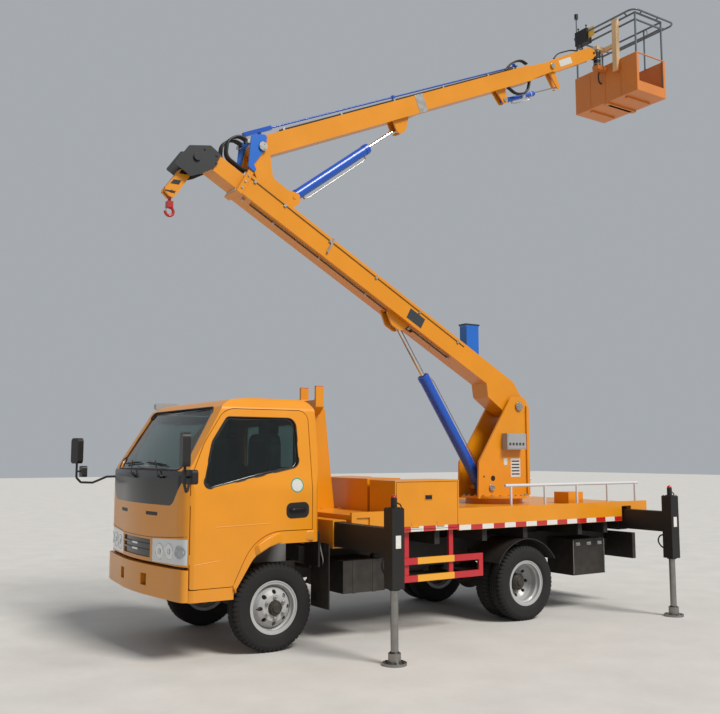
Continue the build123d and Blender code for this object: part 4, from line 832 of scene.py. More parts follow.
def cab_trim(settings):
    """Seals, printed edges, creases, handles, mouldings, wipers and blank stickers of the cab."""
    seal = settings.seal_diameter / 2
    shell = surface("cab_shell")
    front = surface("cab_shell", "cab_front_panel", "cab_glass", "cowl_and_mirrors")
    for name, rows, rays in (("windscreen_seal", SCREEN_ROWS, FROM_FRONT),
                             ("rear_window_seal", REAR_GLASS_ROWS, FROM_REAR)):
        bm = bmesh.new()
        moulded(bm, front, outline(rows, 6, 60), rays, seal)
        made(name, bm, "black_rubber_seal", "chassis")
    glass_edge("windscreen_edge", surface("cab_glass"), SCREEN_ROWS, FROM_FRONT, 42, "chassis")
    for side, word in SIDES:
        body = "door_" + word
        rays = from_side(side)
        door = surface(body, "door_glass_" + word)
        bm = bmesh.new()
        moulded(bm, door, outline(WINDOW_ROWS, 6, 60), rays, seal * 0.8)
        made("door_window_seal_" + word, bm, "black_rubber_seal", body)
        glass_edge("door_window_edge_" + word, surface("door_glass_" + word), WINDOW_ROWS, rays, 24, body)
        bm = bmesh.new()
        for ends in DOOR_CREASES:
            moulded(bm, door, [Vector(p) for p in ends], rays, 0.0045, -0.002, False)
        made("door_creases_" + word, bm, "orange_enamel", body)
        bm = bmesh.new()
        patch(bm, door, outline(HANDLE_CUP_ROWS), rays, 0.003)
        made("door_handle_cup_" + word, bm, "satin_black_plastic", body, 0.0015)
        bm = bmesh.new()
        grip = [landed(door, rays[0](p), rays[1], lift) for p, lift in GRIP_ROWS]
        tube(bm, rounded_path(grip, 0.02), 0.011, 12)
        made("door_handle_" + word, bm, "gloss_black_plastic", body)
        arch_flare(side, word, shell)
    door = surface("door_left")
    for name, radius, thick, material in (("door_sticker_ring", 64, 0.0006, "green_label_film"),
                                          ("door_sticker_face", 53, 0.0010, "blank_label_film")):
        bm = bmesh.new()
        patch(bm, door, oval(*STICKER, radius, radius, 40), from_side(1), thick)
        made(name, bm, material, "door_left")
    wipers(front)
    front_trim(front)


def wipers(front):
    """Two wipers parked along the foot of the windscreen."""
    spot, towards = FROM_FRONT
    for word, pivot, elbow, ends in WIPER_ROWS:
        bm = bmesh.new()
        arm = [landed(front, spot(p), towards, lift)
               for p, lift in ((pivot, 0.012), (pivot, 0.04), (elbow, 0.032))]
        tube(bm, arm, 0.006)
        drum(bm, arm[0], arm[1] - arm[0], 0.016, 0.03, 20)
        start, end = Vector(ends[0]), Vector(ends[1])
        blade = [landed(front, spot(start.lerp(end, k / BLADE_STEPS)), towards, 0.014)
                 for k in range(BLADE_STEPS + 1)]
        tube(bm, blade, 0.007, 6)
        tube(bm, [p + Vector((0.006, 0, 0.006)) for p in blade[1:-1]], 0.005, 6)
        made("wiper_" + word, bm, "satin_black_plastic", "chassis")


def front_trim(front):
    """Lamp reflectors and bezels, the slot handle and the seams of the cab's face."""
    lamps = surface("grille_and_lamps")
    for side, word in SIDES:
        for name, across, high, material in LAMP_ROWS:
            place = (side * across, 880 + (across - LAMP_ROWS[0][1]) * 0.05)
            bm = bmesh.new()
            patch(bm, lamps, oval(*place, 66, high, 36), FROM_FRONT, 0.0012)
            made("lamp_" + name + "_" + word, bm, material, "chassis", 0.0006)
            bm = bmesh.new()
            moulded(bm, lamps, oval(*place, 68, high + 2, 36), FROM_FRONT, 0.004)
            made("lamp_ring_" + name + "_" + word, bm, "chrome_plate", "chassis")
            if name != "turn":
                bm = bmesh.new()
                patch(bm, lamps, oval(*place, 24, 24), FROM_FRONT, 0.004)
                made("lamp_bulb_" + name + "_" + word, bm, "clear_lamp_plastic", "chassis", 0.001)
    bm = bmesh.new()
    for low, high in ((240, 450), (-450, -240)):
        slot = [(low, 1170, 12), (high, 1170, 12), (high, 1200, 12), (low, 1200, 12)]
        patch(bm, front, outline(slot, 4), FROM_FRONT, 0.002)
    made("front_grab_slots", bm, "satin_black_plastic", "chassis")
    bm = bmesh.new()
    seam = [Vector(a).lerp(Vector(b), k / SEAM_STEPS)
            for a, b in zip(FRONT_SEAM, FRONT_SEAM[1:]) for k in range(SEAM_STEPS)]
    moulded(bm, front, seam + [Vector(FRONT_SEAM[-1])], FROM_FRONT, 0.0028, -0.0008, False)
    made("front_panel_seam", bm, "satin_black_plastic", "chassis")
    plates("bumper_gap", [((846, 852), (-870, 870), (755, 784))], "satin_black_plastic", "chassis")


class CHERRY_OT_cab(bpy.types.Operator):
    """Builds the cab's seals, mouldings, handles, lamps and wipers"""
    bl_idname = "cherry.cab"
    bl_label = "Cab trim"

    def execute(self, context):
        cab_trim(context.scene.cherry_picker)
        return {"FINISHED"}


# Cab interior

DASH_PROFILE = [(700, 1112), (694, 1200), (690, 1330), (704, 1386), (738, 1424), (790, 1440),
                (832, 1446), (832, 1112)]
DASH_HALF = 835
SEAT_Y = 430
WHEEL_PLACE = (560, SEAT_Y, 1420)
WHEEL_TILT = -32

# Pad, its centre as (x, z), its size in metres, lean in degrees, crown, and places of its channels
PAD_ROWS = (("seat_cushion_", (190, 1178), (0.5, 0.5, 0.14), -4, 0.022, (-0.5, 0.5)),
            ("seat_back_", (-78, 1520), (0.13, 0.47, 0.7), 0, 0.0, ()),
            ("headrest_", (-118, 1935), (0.09, 0.27, 0.15), 0, 0.0, ()))
PAD_CUTS = 23
CHANNEL_DEPTH, CHANNEL_SPREAD = 0.012, 0.05


def cushion(name, centre, size, lean, crown, channels):
    """A foam pad: rounded box with a crowned face, sides that pull in, and sewn channels."""
    bm = bmesh.new()
    bmesh.ops.create_cube(bm, size=2.0)
    bmesh.ops.subdivide_edges(bm, edges=bm.edges[:], cuts=PAD_CUTS, use_grid_fill=True)
    turn = Matrix.Rotation(math.radians(lean), 4, "Y")
    for vert in bm.verts:
        p = vert.co / sum(abs(c) ** 7 for c in vert.co) ** (1 / 7)
        side_pull = 1 - 0.05 * (1 - p.z ** 2) * (1 - min(abs(p.x), abs(p.y)) ** 4)
        bulge = 0.0
        if p.z > 0.3:
            bulge = crown * (1 - p.x ** 2) * (1 - p.y ** 2)
            for across in channels:
                bulge -= CHANNEL_DEPTH * math.exp(-((p.y - across) / CHANNEL_SPREAD) ** 2)
        vert.co = turn @ Vector((p.x * size[0] / 2 * side_pull, p.y * size[1] / 2 * side_pull,
                                 p.z * size[2] / 2 + bulge)) + centre
    made(name, bm, "grey_seat_cloth", "chassis", 0.0, 60)


def interior():
    """Dashboard, steering wheel and two cloth seats, in place of the CAD's plain ones."""
    bm = bmesh.new()
    prism(bm, upright(-DASH_HALF, DASH_PROFILE), ACROSS * (DASH_HALF / 500))
    block(bm, (676, 760), (250, 610), (1392, 1476))
    block(bm, (662, 700), (-120, 180), (1120, 1400))
    dash = made("dashboard", bm, "grey_interior_plastic", "chassis", 0.012)
    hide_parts("cab_interior")
    bm = bmesh.new()
    tilt = Matrix.Translation(at(*WHEEL_PLACE)) @ Matrix.Rotation(math.radians(WHEEL_TILT), 4, "Y")
    tube(bm, [tilt @ Vector((x, y, 0)) for x, y in circle(48, 0.2)], 0.0145, 12, True)
    hub, axis = tilt @ Vector((0, 0, 0)), tilt.to_3x3() @ UP
    for x, y in circle(3, 0.195, 0.75):
        tip = tilt @ Vector((x, y, 0))
        tube(bm, [hub, (hub + tip) / 2 - axis * 0.012, tip], 0.012)
    drum(bm, hub, axis, 0.05, 0.04, 32)
    drum(bm, hub - axis * 0.12, axis, 0.026, 0.22, 24)
    made("steering_wheel", bm, "light_grey_enamel", "chassis")
    for y, word in ((SEAT_Y, "driver"), (-SEAT_Y, "passenger")):
        for name, (x, z), *form in PAD_ROWS:
            cushion(name + word, at(x, y, z), *form)
        bm = bmesh.new()
        block(bm, (-60, 430), (y - 215, y + 215), (1104, 1122))
        for post in (-70, 70):
            tube(bm, upright(y + post, ((-110, 1840), (-122, 1905))), 0.006)
        made("seat_frame_" + word, bm, "satin_black_plastic", "chassis", 0.003)


class CHERRY_OT_interior(bpy.types.Operator):
    """Builds the dashboard, steering wheel and seats that show through the glass"""
    bl_idname = "cherry.interior"
    bl_label = "Cab interior"

    def execute(self, context):
        interior()
        return {"FINISHED"}


# Deck and underbody

# The deck's striped edge runs from its front place back to the notch of the rear outriggers, and
# steps out where it crosses the tool boxes
STRIPE_FRONT_X = -1249
STRIPE_REAR_X = -4250
STRIPE_CUT = 55
NOTCH_FRONT_X = -4254
TOOL_BOX_X = (-1922, -1160)
STRIPE_HEIGHT = 48
BACK_STRIPES = 12
BACK_STRIPE_STEP = 150
DECK_BACK_X = (-4670.8, -4669.5)
FILMS = ("red_reflective_film", "white_reflective_film")

# Straps round each tank: their places along it, its limits in y, and its top
TANK_ROWS = (((-820, -1040), (372, 803), 723), ((-1300, -1750), (-803, -372), 763))
TANK_FOOT = 427
LOCKER_Y = (759.5, 763)


def stripes(settings):
    """Red and white reflective film along the deck's lower edges and across its back."""
    length = settings.stripe_length * 1000
    rows = {film: [] for film in FILMS}
    for index in range(math.ceil((STRIPE_FRONT_X - STRIPE_REAR_X) / length)):
        start = STRIPE_FRONT_X + STRIPE_CUT - index * length
        high, low = min(start, STRIPE_FRONT_X), max(start - length, NOTCH_FRONT_X + 4)
        for low_x, high_x in ((max(low, TOOL_BOX_X[1]), high),
                              (max(low, TOOL_BOX_X[0]), min(high, TOOL_BOX_X[1])),
                              (low, min(high, TOOL_BOX_X[0]))):
            if high_x - low_x < 4:
                continue
            on_box = TOOL_BOX_X[0] <= low_x and high_x <= TOOL_BOX_X[1]
            face, foot = (TOOL_BOX_FACE, 967) if on_box else (DECK_FACE, 955)
            for side, _ in SIDES:
                rows[FILMS[index % 2]].append(((low_x, high_x), span(side, face - 0.5, face + 0.8),
                                               (foot, foot + STRIPE_HEIGHT)))
    for index in range(BACK_STRIPES):
        start = (index - BACK_STRIPES / 2) * BACK_STRIPE_STEP
        rows[FILMS[index % 2]].append((DECK_BACK_X, (start, start + BACK_STRIPE_STEP - 2),
                                       (956, 956 + STRIPE_HEIGHT)))
    for film in FILMS:
        plates("deck_" + film, rows[film], film, "chassis")


def deck_fittings():
    """Fittings of the tool boxes and the cab's rear, and flanges and bolts on the deck."""
    for side, word in SIDES:
        line = span(side, 967.5, 968.8)
        plates("tool_box_door_line_" + word,
               [((-1906, -1176), line, (1424, 1428)), ((-1906, -1176), line, (984, 988)),
                ((-1906, -1902), line, (984, 1428)), ((-1180, -1176), line, (984, 1428))],
               "satin_black_plastic", "chassis")
        bm = bmesh.new()
        for x in (-1390, -1690):
            block(bm, (x - 40, x + 40), span(side, 967, 972), (1010, 1052))
            tube(bm, upright(side * 973, ((x - 42, 1010), (x + 42, 1010))), 0.006)
        made("tool_box_hinges_" + word, bm, "orange_enamel", "chassis", 0.001)
        plates("tool_box_latch_cup_" + word, [((-1600, -1500), span(side, 967, 970), (1250, 1330))],
               "orange_enamel", "chassis", 0.001)
        bm = bmesh.new()
        block(bm, (-1588, -1512), span(side, 970, 976), (1262, 1300))
        tube(bm, upright(side * 980, ((-1580, 1290), (-1520, 1290))), 0.005)
        made("tool_box_latch_" + word, bm, "satin_black_plastic", "chassis", 0.001)
        plates("cab_rear_step_" + word, [((-391, -290), span(side, 880, 902), (950, 1015)),
                                         ((-405, -385), span(side, 640, 890), (700, 990))],
               "satin_black_plastic", "chassis", 0.003)
        bm = bmesh.new()
        hose(bm, upright(side * 830, ((-430, 900), (-470, 760), (-500, 560))), 0.03, 0.011)
        made("mudflap_stay_" + word, bm, "zinc_plated_steel", "chassis")
    bm = bmesh.new()
    for x in (-2700, -3180, -3660, -4140, -4600):
        for y in (860, -860):
            drum(bm, at(x, y, 1143), UP, 0.032, 0.007, 28)
    made("handrail_flanges", bm, "silver_enamel", "chassis", 0.001)
    bm = bmesh.new()
    for dx, dy in circle(24, 365):
        drum(bm, at(SLEW_X + dx, dy, 1232), UP, 0.014, 0.016, 6)
    made("slew_ring_bolts", bm, "zinc_plated_steel", "turret", 0.001)
    bm = bmesh.new()
    for x in (-1100, -900, -800):
        for y in (90, -90):
            drum(bm, at(x, y, 1150), UP, 0.014, 0.014, 6)
    block(bm, (-1080, -640), (-120, 120), (1139, 1146))
    made("boom_rest_foot", bm, "orange_enamel", "chassis", 0.002)


def underbody():
    """Tank straps, filler cap, exhaust pipe, air reservoirs, locker latches and rear reflectors."""
    rows = []
    for places, (low, high), top in TANK_ROWS:
        outer = (high - 3, high) if high > 0 else (low, low + 3)
        for x in places:
            band = (x - 18, x + 18)
            rows += [(band, (low, high), (TANK_FOOT, TANK_FOOT + 3)), (band, outer, (TANK_FOOT, top)),
                     (band, (low, high), (top - 3, top))]
    plates("tank_straps", rows, "black_axle_enamel", "chassis", 0.001)
    bm = bmesh.new()
    drum(bm, at(-1110, 700, 735), UP, 0.042, 0.03, 32)
    drum(bm, at(-1110, 700, 754), UP, 0.034, 0.012, 12)
    made("fuel_cap", bm, "satin_black_plastic", "chassis", 0.002)
    bm = bmesh.new()
    pipe = [at(-200, -260, 470), at(-900, -270, 470), at(-1150, -285, 520), at(-2050, -285, 520)]
    tube(bm, rounded_path(pipe, 0.08), 0.032, 16)
    made("exhaust_pipe", bm, "ground_steel", "chassis")
    bm = bmesh.new()
    drum(bm, at(-2240, -275, 500), AHEAD, 0.085, 0.42, 36)
    drum(bm, at(-2440, -275, 500), AHEAD, 0.07, 0.06, 36)
    made("exhaust_silencer", bm, "ground_steel", "chassis", 0.006)
    for side, word in SIDES:
        bm = bmesh.new()
        drum(bm, at(-1500, side * 250, 640), AHEAD, 0.055, 0.36, 32)
        for end in (-185, 185):
            dome(bm, at(-1500 + end, side * 250, 640), 0.052)
        made("air_reservoir_" + word, bm, "black_chassis_enamel", "chassis")
    bm = bmesh.new()
    for x in (-3760, -3930, -4100):
        block(bm, (x - 32, x + 32), LOCKER_Y, (690, 725))
        tube(bm, upright(768, ((x - 24, 700), (x + 24, 700))), 0.006)
    for x in (-4170, -3690):
        block(bm, (x - 3, x + 3), LOCKER_Y, (390, 745))
    made("rear_locker_latches", bm, "zinc_plated_steel", "chassis", 0.001)
    plates("underrun_reflectors", [((-4707, -4700), (y - 70, y + 70), (560, 600)) for y in (-120, 120)],
           "red_reflective_film", "chassis", 0.001)
    plates("blank_plate_holder", [((-4706, -4700), (-230, 230), (630, 750))],
           "light_grey_enamel", "chassis", 0.001)


class CHERRY_OT_deck(bpy.types.Operator):
    """Builds the deck's stripes, latches and bolts and the underbody's fittings"""
    bl_idname = "cherry.deck"
    bl_label = "Deck and underbody"

    def execute(self, context):
        stripes(context.scene.cherry_picker)
        deck_fittings()
        underbody()
        return {"FINISHED"}


# Outriggers

# Outrigger, and its leg's place along and across
LEG_ROWS = (("front", -600, 1740), ("rear", -4330, 1545))
LEG_HALF = 60
# The lamp's cable and the jack's hose, as steps from the leg: (along, up) and (inwards, up)
LAMP_CABLE = ((-22, 1292), (-72, 1270), (-74, 1150), (-58, 1120))
JACK_HOSE = ((58, 834), (125, 830), (160, 765), (110, 702), (58, 700))


def outriggers():
    """Lamp domes, collars, foot bolts, hoses and reflective patches of the four outriggers."""
    for place, x, leg_y in LEG_ROWS:
        for side, word in SIDES:
            body = place + "_beam_" + word
            y = side * leg_y
            bm = bmesh.new()
            drum(bm, at(x, y, 1331), UP, 0.024, 0.016, 32)
            dome(bm, at(x, y, 1338), 0.023, 0.8)
            made("beacon_" + body, bm, "red_lens_plastic", body)
            bm = bmesh.new()
            drum(bm, at(x, y, 1248), UP, 0.05, 0.012, 32)
            drum(bm, at(x, y, 596), UP, 0.047, 0.014, 32)
            for dx in (-46, 46):
                for dy in (-46, 46):
                    drum(bm, at(x + dx, y + dy, 1248), UP, 0.009, 0.012, 6)
            made("leg_collars_" + body, bm, "satin_black_plastic", body, 0.001)
            face = span(side, leg_y + LEG_HALF - 0.5, leg_y + LEG_HALF + 1)
            plates("leg_reflector_" + body, [((x - 26, x + 26), face, (925, 1028))],
                   "white_reflective_film", body)
            bm = bmesh.new()
            hose(bm, [at(x + dx, y, z) for dx, z in LAMP_CABLE], 0.02, 0.006)
            hose(bm, [at(x + 20, side * (leg_y - dy), z) for dy, z in JACK_HOSE], 0.05, 0.008)
            made("leg_hoses_" + body, bm, "hose_rubber", body)
            bm = bmesh.new()
            drum(bm, at(x, y, 100), UP, 0.046, 0.012, 32, 0.8)
            for dx, dy in circle(6, 74):
                drum(bm, at(x + dx, y + dy, 26), UP, 0.009, 0.01, 6)
            made("foot_bolts_" + body, bm, "black_outrigger_enamel", place + "_jack_" + word, 0.001)


class CHERRY_OT_outriggers(bpy.types.Operator):
    """Builds the outriggers' beacons, collars, hoses and reflectors"""
    bl_idname = "cherry.outriggers"
    bl_label = "Outriggers"

    def execute(self, context):
        outriggers()
        return {"FINISHED"}


# Turret and booms

# Discs on the turret's pins: place, distance across, radius, and reach of their screws
TURRET_DISCS = ((BOOM_PIVOT, 196, 0.05, 0.032), (LIFT_BASE, 192, 0.038, 0.024))
# The knuckle's hoses: their distances across, and the route that each follows, as (x, z)
BUNDLE_Y = (-90, -66, -42, 42, 66, 90)
BUNDLE_ROUTE = ((-50, 4422), (30, 4452), (190, 4539), (176, 4706), (60, 4778), (-28, 4750), (-30, 4718))
# Hose loops past the elbow, over the boom and under it, as (along, up) on the upper boom
ELBOW_LOOPS = (((3650, 118), (3780, 190), (3960, 200), (4040, 130)),
               ((3600, -74), (3700, -190), (3900, -200), (3990, -84)))
# Cylinder, its pins, and its barrel's length and radius
CYLINDER_ROWS = (("lift", LIFT_BASE, LIFT_EYE, 1470, 62), ("fold", FOLD_BASE, FOLD_EYE, 1200, 54),
                 ("jib", JIB_BASE, JIB_EYE, 560, 28))
# Warning stripes on the crane's arm, as (x, z)
ARM_STRIPES = (((560, 4370), (620, 4350), (650, 4300), (575, 4300)),
               ((625, 4235), (700, 4235), (735, 4190), (650, 4190)),
               ((680, 4125), (780, 4125), (785, 4112), (690, 4100)))


def side_plate(bm, corners, y, place):
    """A thin plate on a boom's side between two (along, up) corners, from y[0] to y[1]."""
    (low_a, low_u), (high_a, high_u) = corners
    prism(bm, [place(a, u, y[0]) for a, u in ((low_a, low_u), (high_a, low_u), (high_a, high_u),
                                              (low_a, high_u))], ACROSS * ((y[1] - y[0]) / 1000))


def turret_fittings():
    """Blank plates, pin discs, holes, rear flanges and valve cover of the turret."""
    plates("turret_plates", [((-3475, -3330), (180, 181.5), (1430, 1640)),
                             ((-3280, -3225), (180, 181.5), (1565, 1640))], "blank_label_film", "turret")
    plates("turret_plate_bands", [((-3462, -3343), (181.3, 181.9), (1455 + row * 36, 1471 + row * 36))
                                  for row in range(5)], "dark_label_film", "turret")
    for side, word in SIDES:
        bm = bmesh.new()
        for (x, z), y, radius, _ in TURRET_DISCS:
            drum(bm, at(x, side * y, z), ACROSS, radius, 0.01, 36)
        for (x, z), _, _, reach in TURRET_DISCS:
            for dx, dz in circle(3, reach):
                drum(bm, at(x, side * 202, z) + Vector((dx, 0, dz)), ACROSS, 0.006, 0.012, 6)
        made("turret_pin_discs_" + word, bm, "zinc_plated_steel", "turret", 0.001)
        bm = bmesh.new()
        drum(bm, at(-3062, side * 181, 1420), ACROSS, 0.03, 0.004, 32)
        drum(bm, at(-2930, side * 181, 1440), ACROSS, 0.009, 0.004, 20)
        made("turret_holes_" + word, bm, "satin_black_plastic", "turret")
    bm = bmesh.new()
    for y in (173, -200):
        prism(bm, upright(y, ((-3610, 1226), (-3570, 1226), (-3570, 2240), (-3610, 2240))), ACROSS * 0.027)
    made("turret_rear_flanges", bm, "orange_enamel", "turret", 0.002)
    bm = bmesh.new()
    block(bm, (-3480, -3215), (270, 272), (1752, 1908))
    for x in (-3470, -3225):
        for z in (1760, 1900):
            drum(bm, at(x, 273, z), ACROSS, 0.006, 0.006, 12)
    made("valve_cover_lid", bm, "light_grey_enamel", "turret", 0.002)
    plates("valve_cover_marks", [((-3460 + k * 50, -3430 + k * 50), (272, 273), (1785, 1815))
                                 for k in range(5)], "dark_label_film", "turret")


def lower_boom_fittings():
    """Pipes, clamps, hoses, wear pads, collar bolts and the blank plate of the lower boom."""
    bm = bmesh.new()
    tube(bm, [LOWER(-3100, -38, 135), LOWER(-40, -38, 135)], 0.004, 8)
    for up in (-233, -243):
        for low, high in ((-3000, -1950), (-1950, -200)):
            tube(bm, [LOWER(low, up, 60), LOWER(high, up, 60)], 0.0045, 8)
    made("lower_boom_pipes", bm, "painted_pipe", "lower_boom")
    bm = bmesh.new()
    for along in (-3000, -2400, -1750, -1100, -500, -120):
        side_plate(bm, ((along - 14, -58), (along + 14, -26)), (130, 143), LOWER)
        side_plate(bm, ((along - 14, -254), (along + 14, -224)), (46, 74), LOWER)
    side_plate(bm, ((-1135, -170), (-1115, 6)), (129, 152), LOWER)
    made("lower_boom_clamps", bm, "zinc_plated_steel", "lower_boom", 0.001)
    bm = bmesh.new()
    side_plate(bm, ((-2500, -190), (-2280, -70)), (129.5, 131), LOWER)
    made("lower_boom_plate", bm, "dark_label_film", "lower_boom")
    bm = bmesh.new()
    for y in (-148.5, 148.5):
        for up in (-40, -110, -185):
            drum(bm, LOWER(-30, up, y), ACROSS, 0.012, 0.012, 6)
    for y in (-90, 0, 90):
        drum(bm, LOWER(-30, 20, y), LOWER(0, 1, 0) - LOWER(0, 0, 0), 0.012, 0.012, 6)
    made("collar_bolts", bm, "zinc_plated_steel", "lower_boom", 0.001)
    bm = bmesh.new()
    for low, high in ((-38, -2), (-222, -210)):
        side_plate(bm, ((-40, low), (8, high)), (-98, 98), LOWER)
    made("collar_wear_pads", bm, "blank_label_film", "lower_boom", 0.001)
    plates("rest_post_pad", [((-3000, -2794), (-66, 66), (3145, 3158))],
           "black_rubber_seal", "lower_boom", 0.003)
    bm = bmesh.new()
    for y in (-12, 12):
        hose(bm, [LOWER(a, u, y) for a, u in ((-900, 4), (-820, 26), (-700, 26), (-640, 4))], 0.03, 0.011)
    made("knuckle_hoses", bm, "hose_rubber", "lower_boom")
    bm = bmesh.new()
    for y in BUNDLE_Y:
        hose(bm, upright(y, BUNDLE_ROUTE), 0.06, 0.0125)
    bundle = made("knuckle_hose_bundle", bm, "hose_rubber", None)
    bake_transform(bundle)
    plates("knuckle_hose_clamps", [((-42, -14), span(side, 78, 131), (4704, 4738)) for side, _ in SIDES],
           "zinc_plated_steel", "knuckle_link", 0.002)


def upper_boom_fittings(settings):
    """Pin discs, hoses, clamps and steel band of the upper boom, and the jib's hoses and plate."""
    radius = settings.hose_diameter / 2
    for side, word in SIDES:
        x, z = KNUCKLE_PIN
        bm = bmesh.new()
        drum(bm, at(x, side * 156, z), ACROSS, 0.045, 0.008, 32)
        for dx, dz in circle(3, 28):
            drum(bm, at(x + dx, side * 162, z + dz), ACROSS, 0.006, 0.01, 6)
        made("knuckle_pin_disc_" + word, bm, "zinc_plated_steel", "knuckle_link", 0.001)
        bm = bmesh.new()
        drum(bm, at(ELBOW_PIN[0], side * 111, ELBOW_PIN[1]), ACROSS, 0.034, 0.008, 32)
        drum(bm, at(JIB_BASE[0], side * 54, JIB_BASE[1]), ACROSS, 0.024, 0.006, 28)
        made("elbow_pin_disc_" + word, bm, "zinc_plated_steel", "upper_boom", 0.001)
    bm = bmesh.new()
    for y in (-60, 60):
        tube(bm, [UPPER(300, 122, y), UPPER(3850, 122, y)], radius * 0.8)
    for y in (84, 58):
        for loop in ELBOW_LOOPS:
            hose(bm, [UPPER(a, u, y) for a, u in loop], 0.09, radius)
    made("upper_boom_hoses", bm, "hose_rubber", "upper_boom")
    bm = bmesh.new()
    for along in (350, 1100, 1850, 2600, 3350, 3800):
        for y in (-60, 60):
            side_plate(bm, ((along - 12, 106), (along + 12, 136)), (y - 14, y + 14), UPPER)
    side_plate(bm, ((2120, -96), (2240, 110)), (97.5, 101), UPPER)
    made("upper_boom_clamps", bm, "zinc_plated_steel", "upper_boom", 0.001)
    bm = bmesh.new()
    for y in (50, 60):
        hose(bm, [JIB(a, u, y) for a, u in ((120, 84), (220, 130), (480, 120), (600, 82))],
             0.06, radius * 0.7)
    made("jib_hoses", bm, "hose_rubber", "jib")
    bm = bmesh.new()
    side_plate(bm, ((180, -40), (420, 40)), (64.5, 66), JIB)
    made("jib_plate", bm, "blank_label_film", "jib")
    bm = bmesh.new()
    start, end = at(JIB_BASE[0], 0, JIB_BASE[1]), at(JIB_EYE[0], 0, JIB_EYE[1])
    for share in (0.36, 0.52):
        drum(bm, start.lerp(end, share), (end - start).normalized(), 0.031, 0.05, 32)
    made("jib_cylinder_sleeve", bm, "silver_enamel", "jib_barrel", 0.001)


def cylinder_fittings():
    """Gland rings, ports and hoses on the cylinders."""
    for name, base, eye, length, radius in CYLINDER_ROWS:
        start, end = at(base[0], 0, base[1]), at(eye[0], 0, eye[1])
        run = (end - start).normalized()
        out = Vector((-run.z, 0, run.x))
        radius, length = radius / 1000, length / 1000
        bm = bmesh.new()
        sleeve(bm, start + run * (length - 0.035), run, radius * 0.76, radius + 0.004, 0.05)
        sleeve(bm, start + run * (radius + 0.06), run, radius * 0.9, radius + 0.003, 0.025)
        made(name + "_gland", bm, "blue_cylinder_enamel", name + "_barrel", 0.002)
        bm = bmesh.new()
        for along in (radius + 0.12, length - 0.09):
            drum(bm, start + run * along + out * (radius + 0.012), out, 0.014, 0.028, 6)
        hose(bm, [start + run * along + out * (radius + proud) for along, proud in
                  ((radius + 0.12, 0.02), (radius + 0.16, 0.035), (length - 0.13, 0.035),
                   (length - 0.09, 0.02))], 0.02, 0.006)
        made(name + "_ports", bm, "zinc_plated_steel", name + "_barrel", 0.0005)


def crane_fittings():
    """Bolts and warning stripes of the crane head, and the hook's latch."""
    bm = bmesh.new()
    for side, _ in SIDES:
        drum(bm, at(500, side * 126, 4470), ACROSS, 0.036, 0.01, 32)
    for x, z in ((300, 4440), (300, 4520), (420, 4560)):
        for side, _ in SIDES:
            drum(bm, at(x, side * 114, z), ACROSS, 0.011, 0.012, 6)
    made("crane_head_bolts", bm, "dark_grey_enamel", "inner_boom", 0.001)
    bm = bmesh.new()
    for corners in ARM_STRIPES:
        for low in (50, -50.8):
            prism(bm, upright(low, corners), ACROSS * 0.0008)
    made("crane_arm_stripes", bm, "satin_black_plastic", "inner_boom")
    bm = bmesh.new()
    tube(bm, upright(0, ((HOOK_PIN_X + 34, 3942), (HOOK_PIN_X + 30, 3966), (HOOK_PIN_X + 6, 3982))), 0.004)
    made("hook_latch", bm, "zinc_plated_steel", "crane_hook")


class CHERRY_OT_booms(bpy.types.Operator):
    """Builds the hoses, pipes, plates, discs and bolts of the turret, booms, cylinders and crane"""
    bl_idname = "cherry.booms"
    bl_label = "Turret and booms"

    def execute(self, context):
        turret_fittings()
        lower_boom_fittings()
        upper_boom_fittings(context.scene.cherry_picker)
        cylinder_fittings()
        crane_fittings()
        return {"FINISHED"}


# Basket

TUB_RIB_Z = (6345, 6800)
CONTROLS_X = -5268


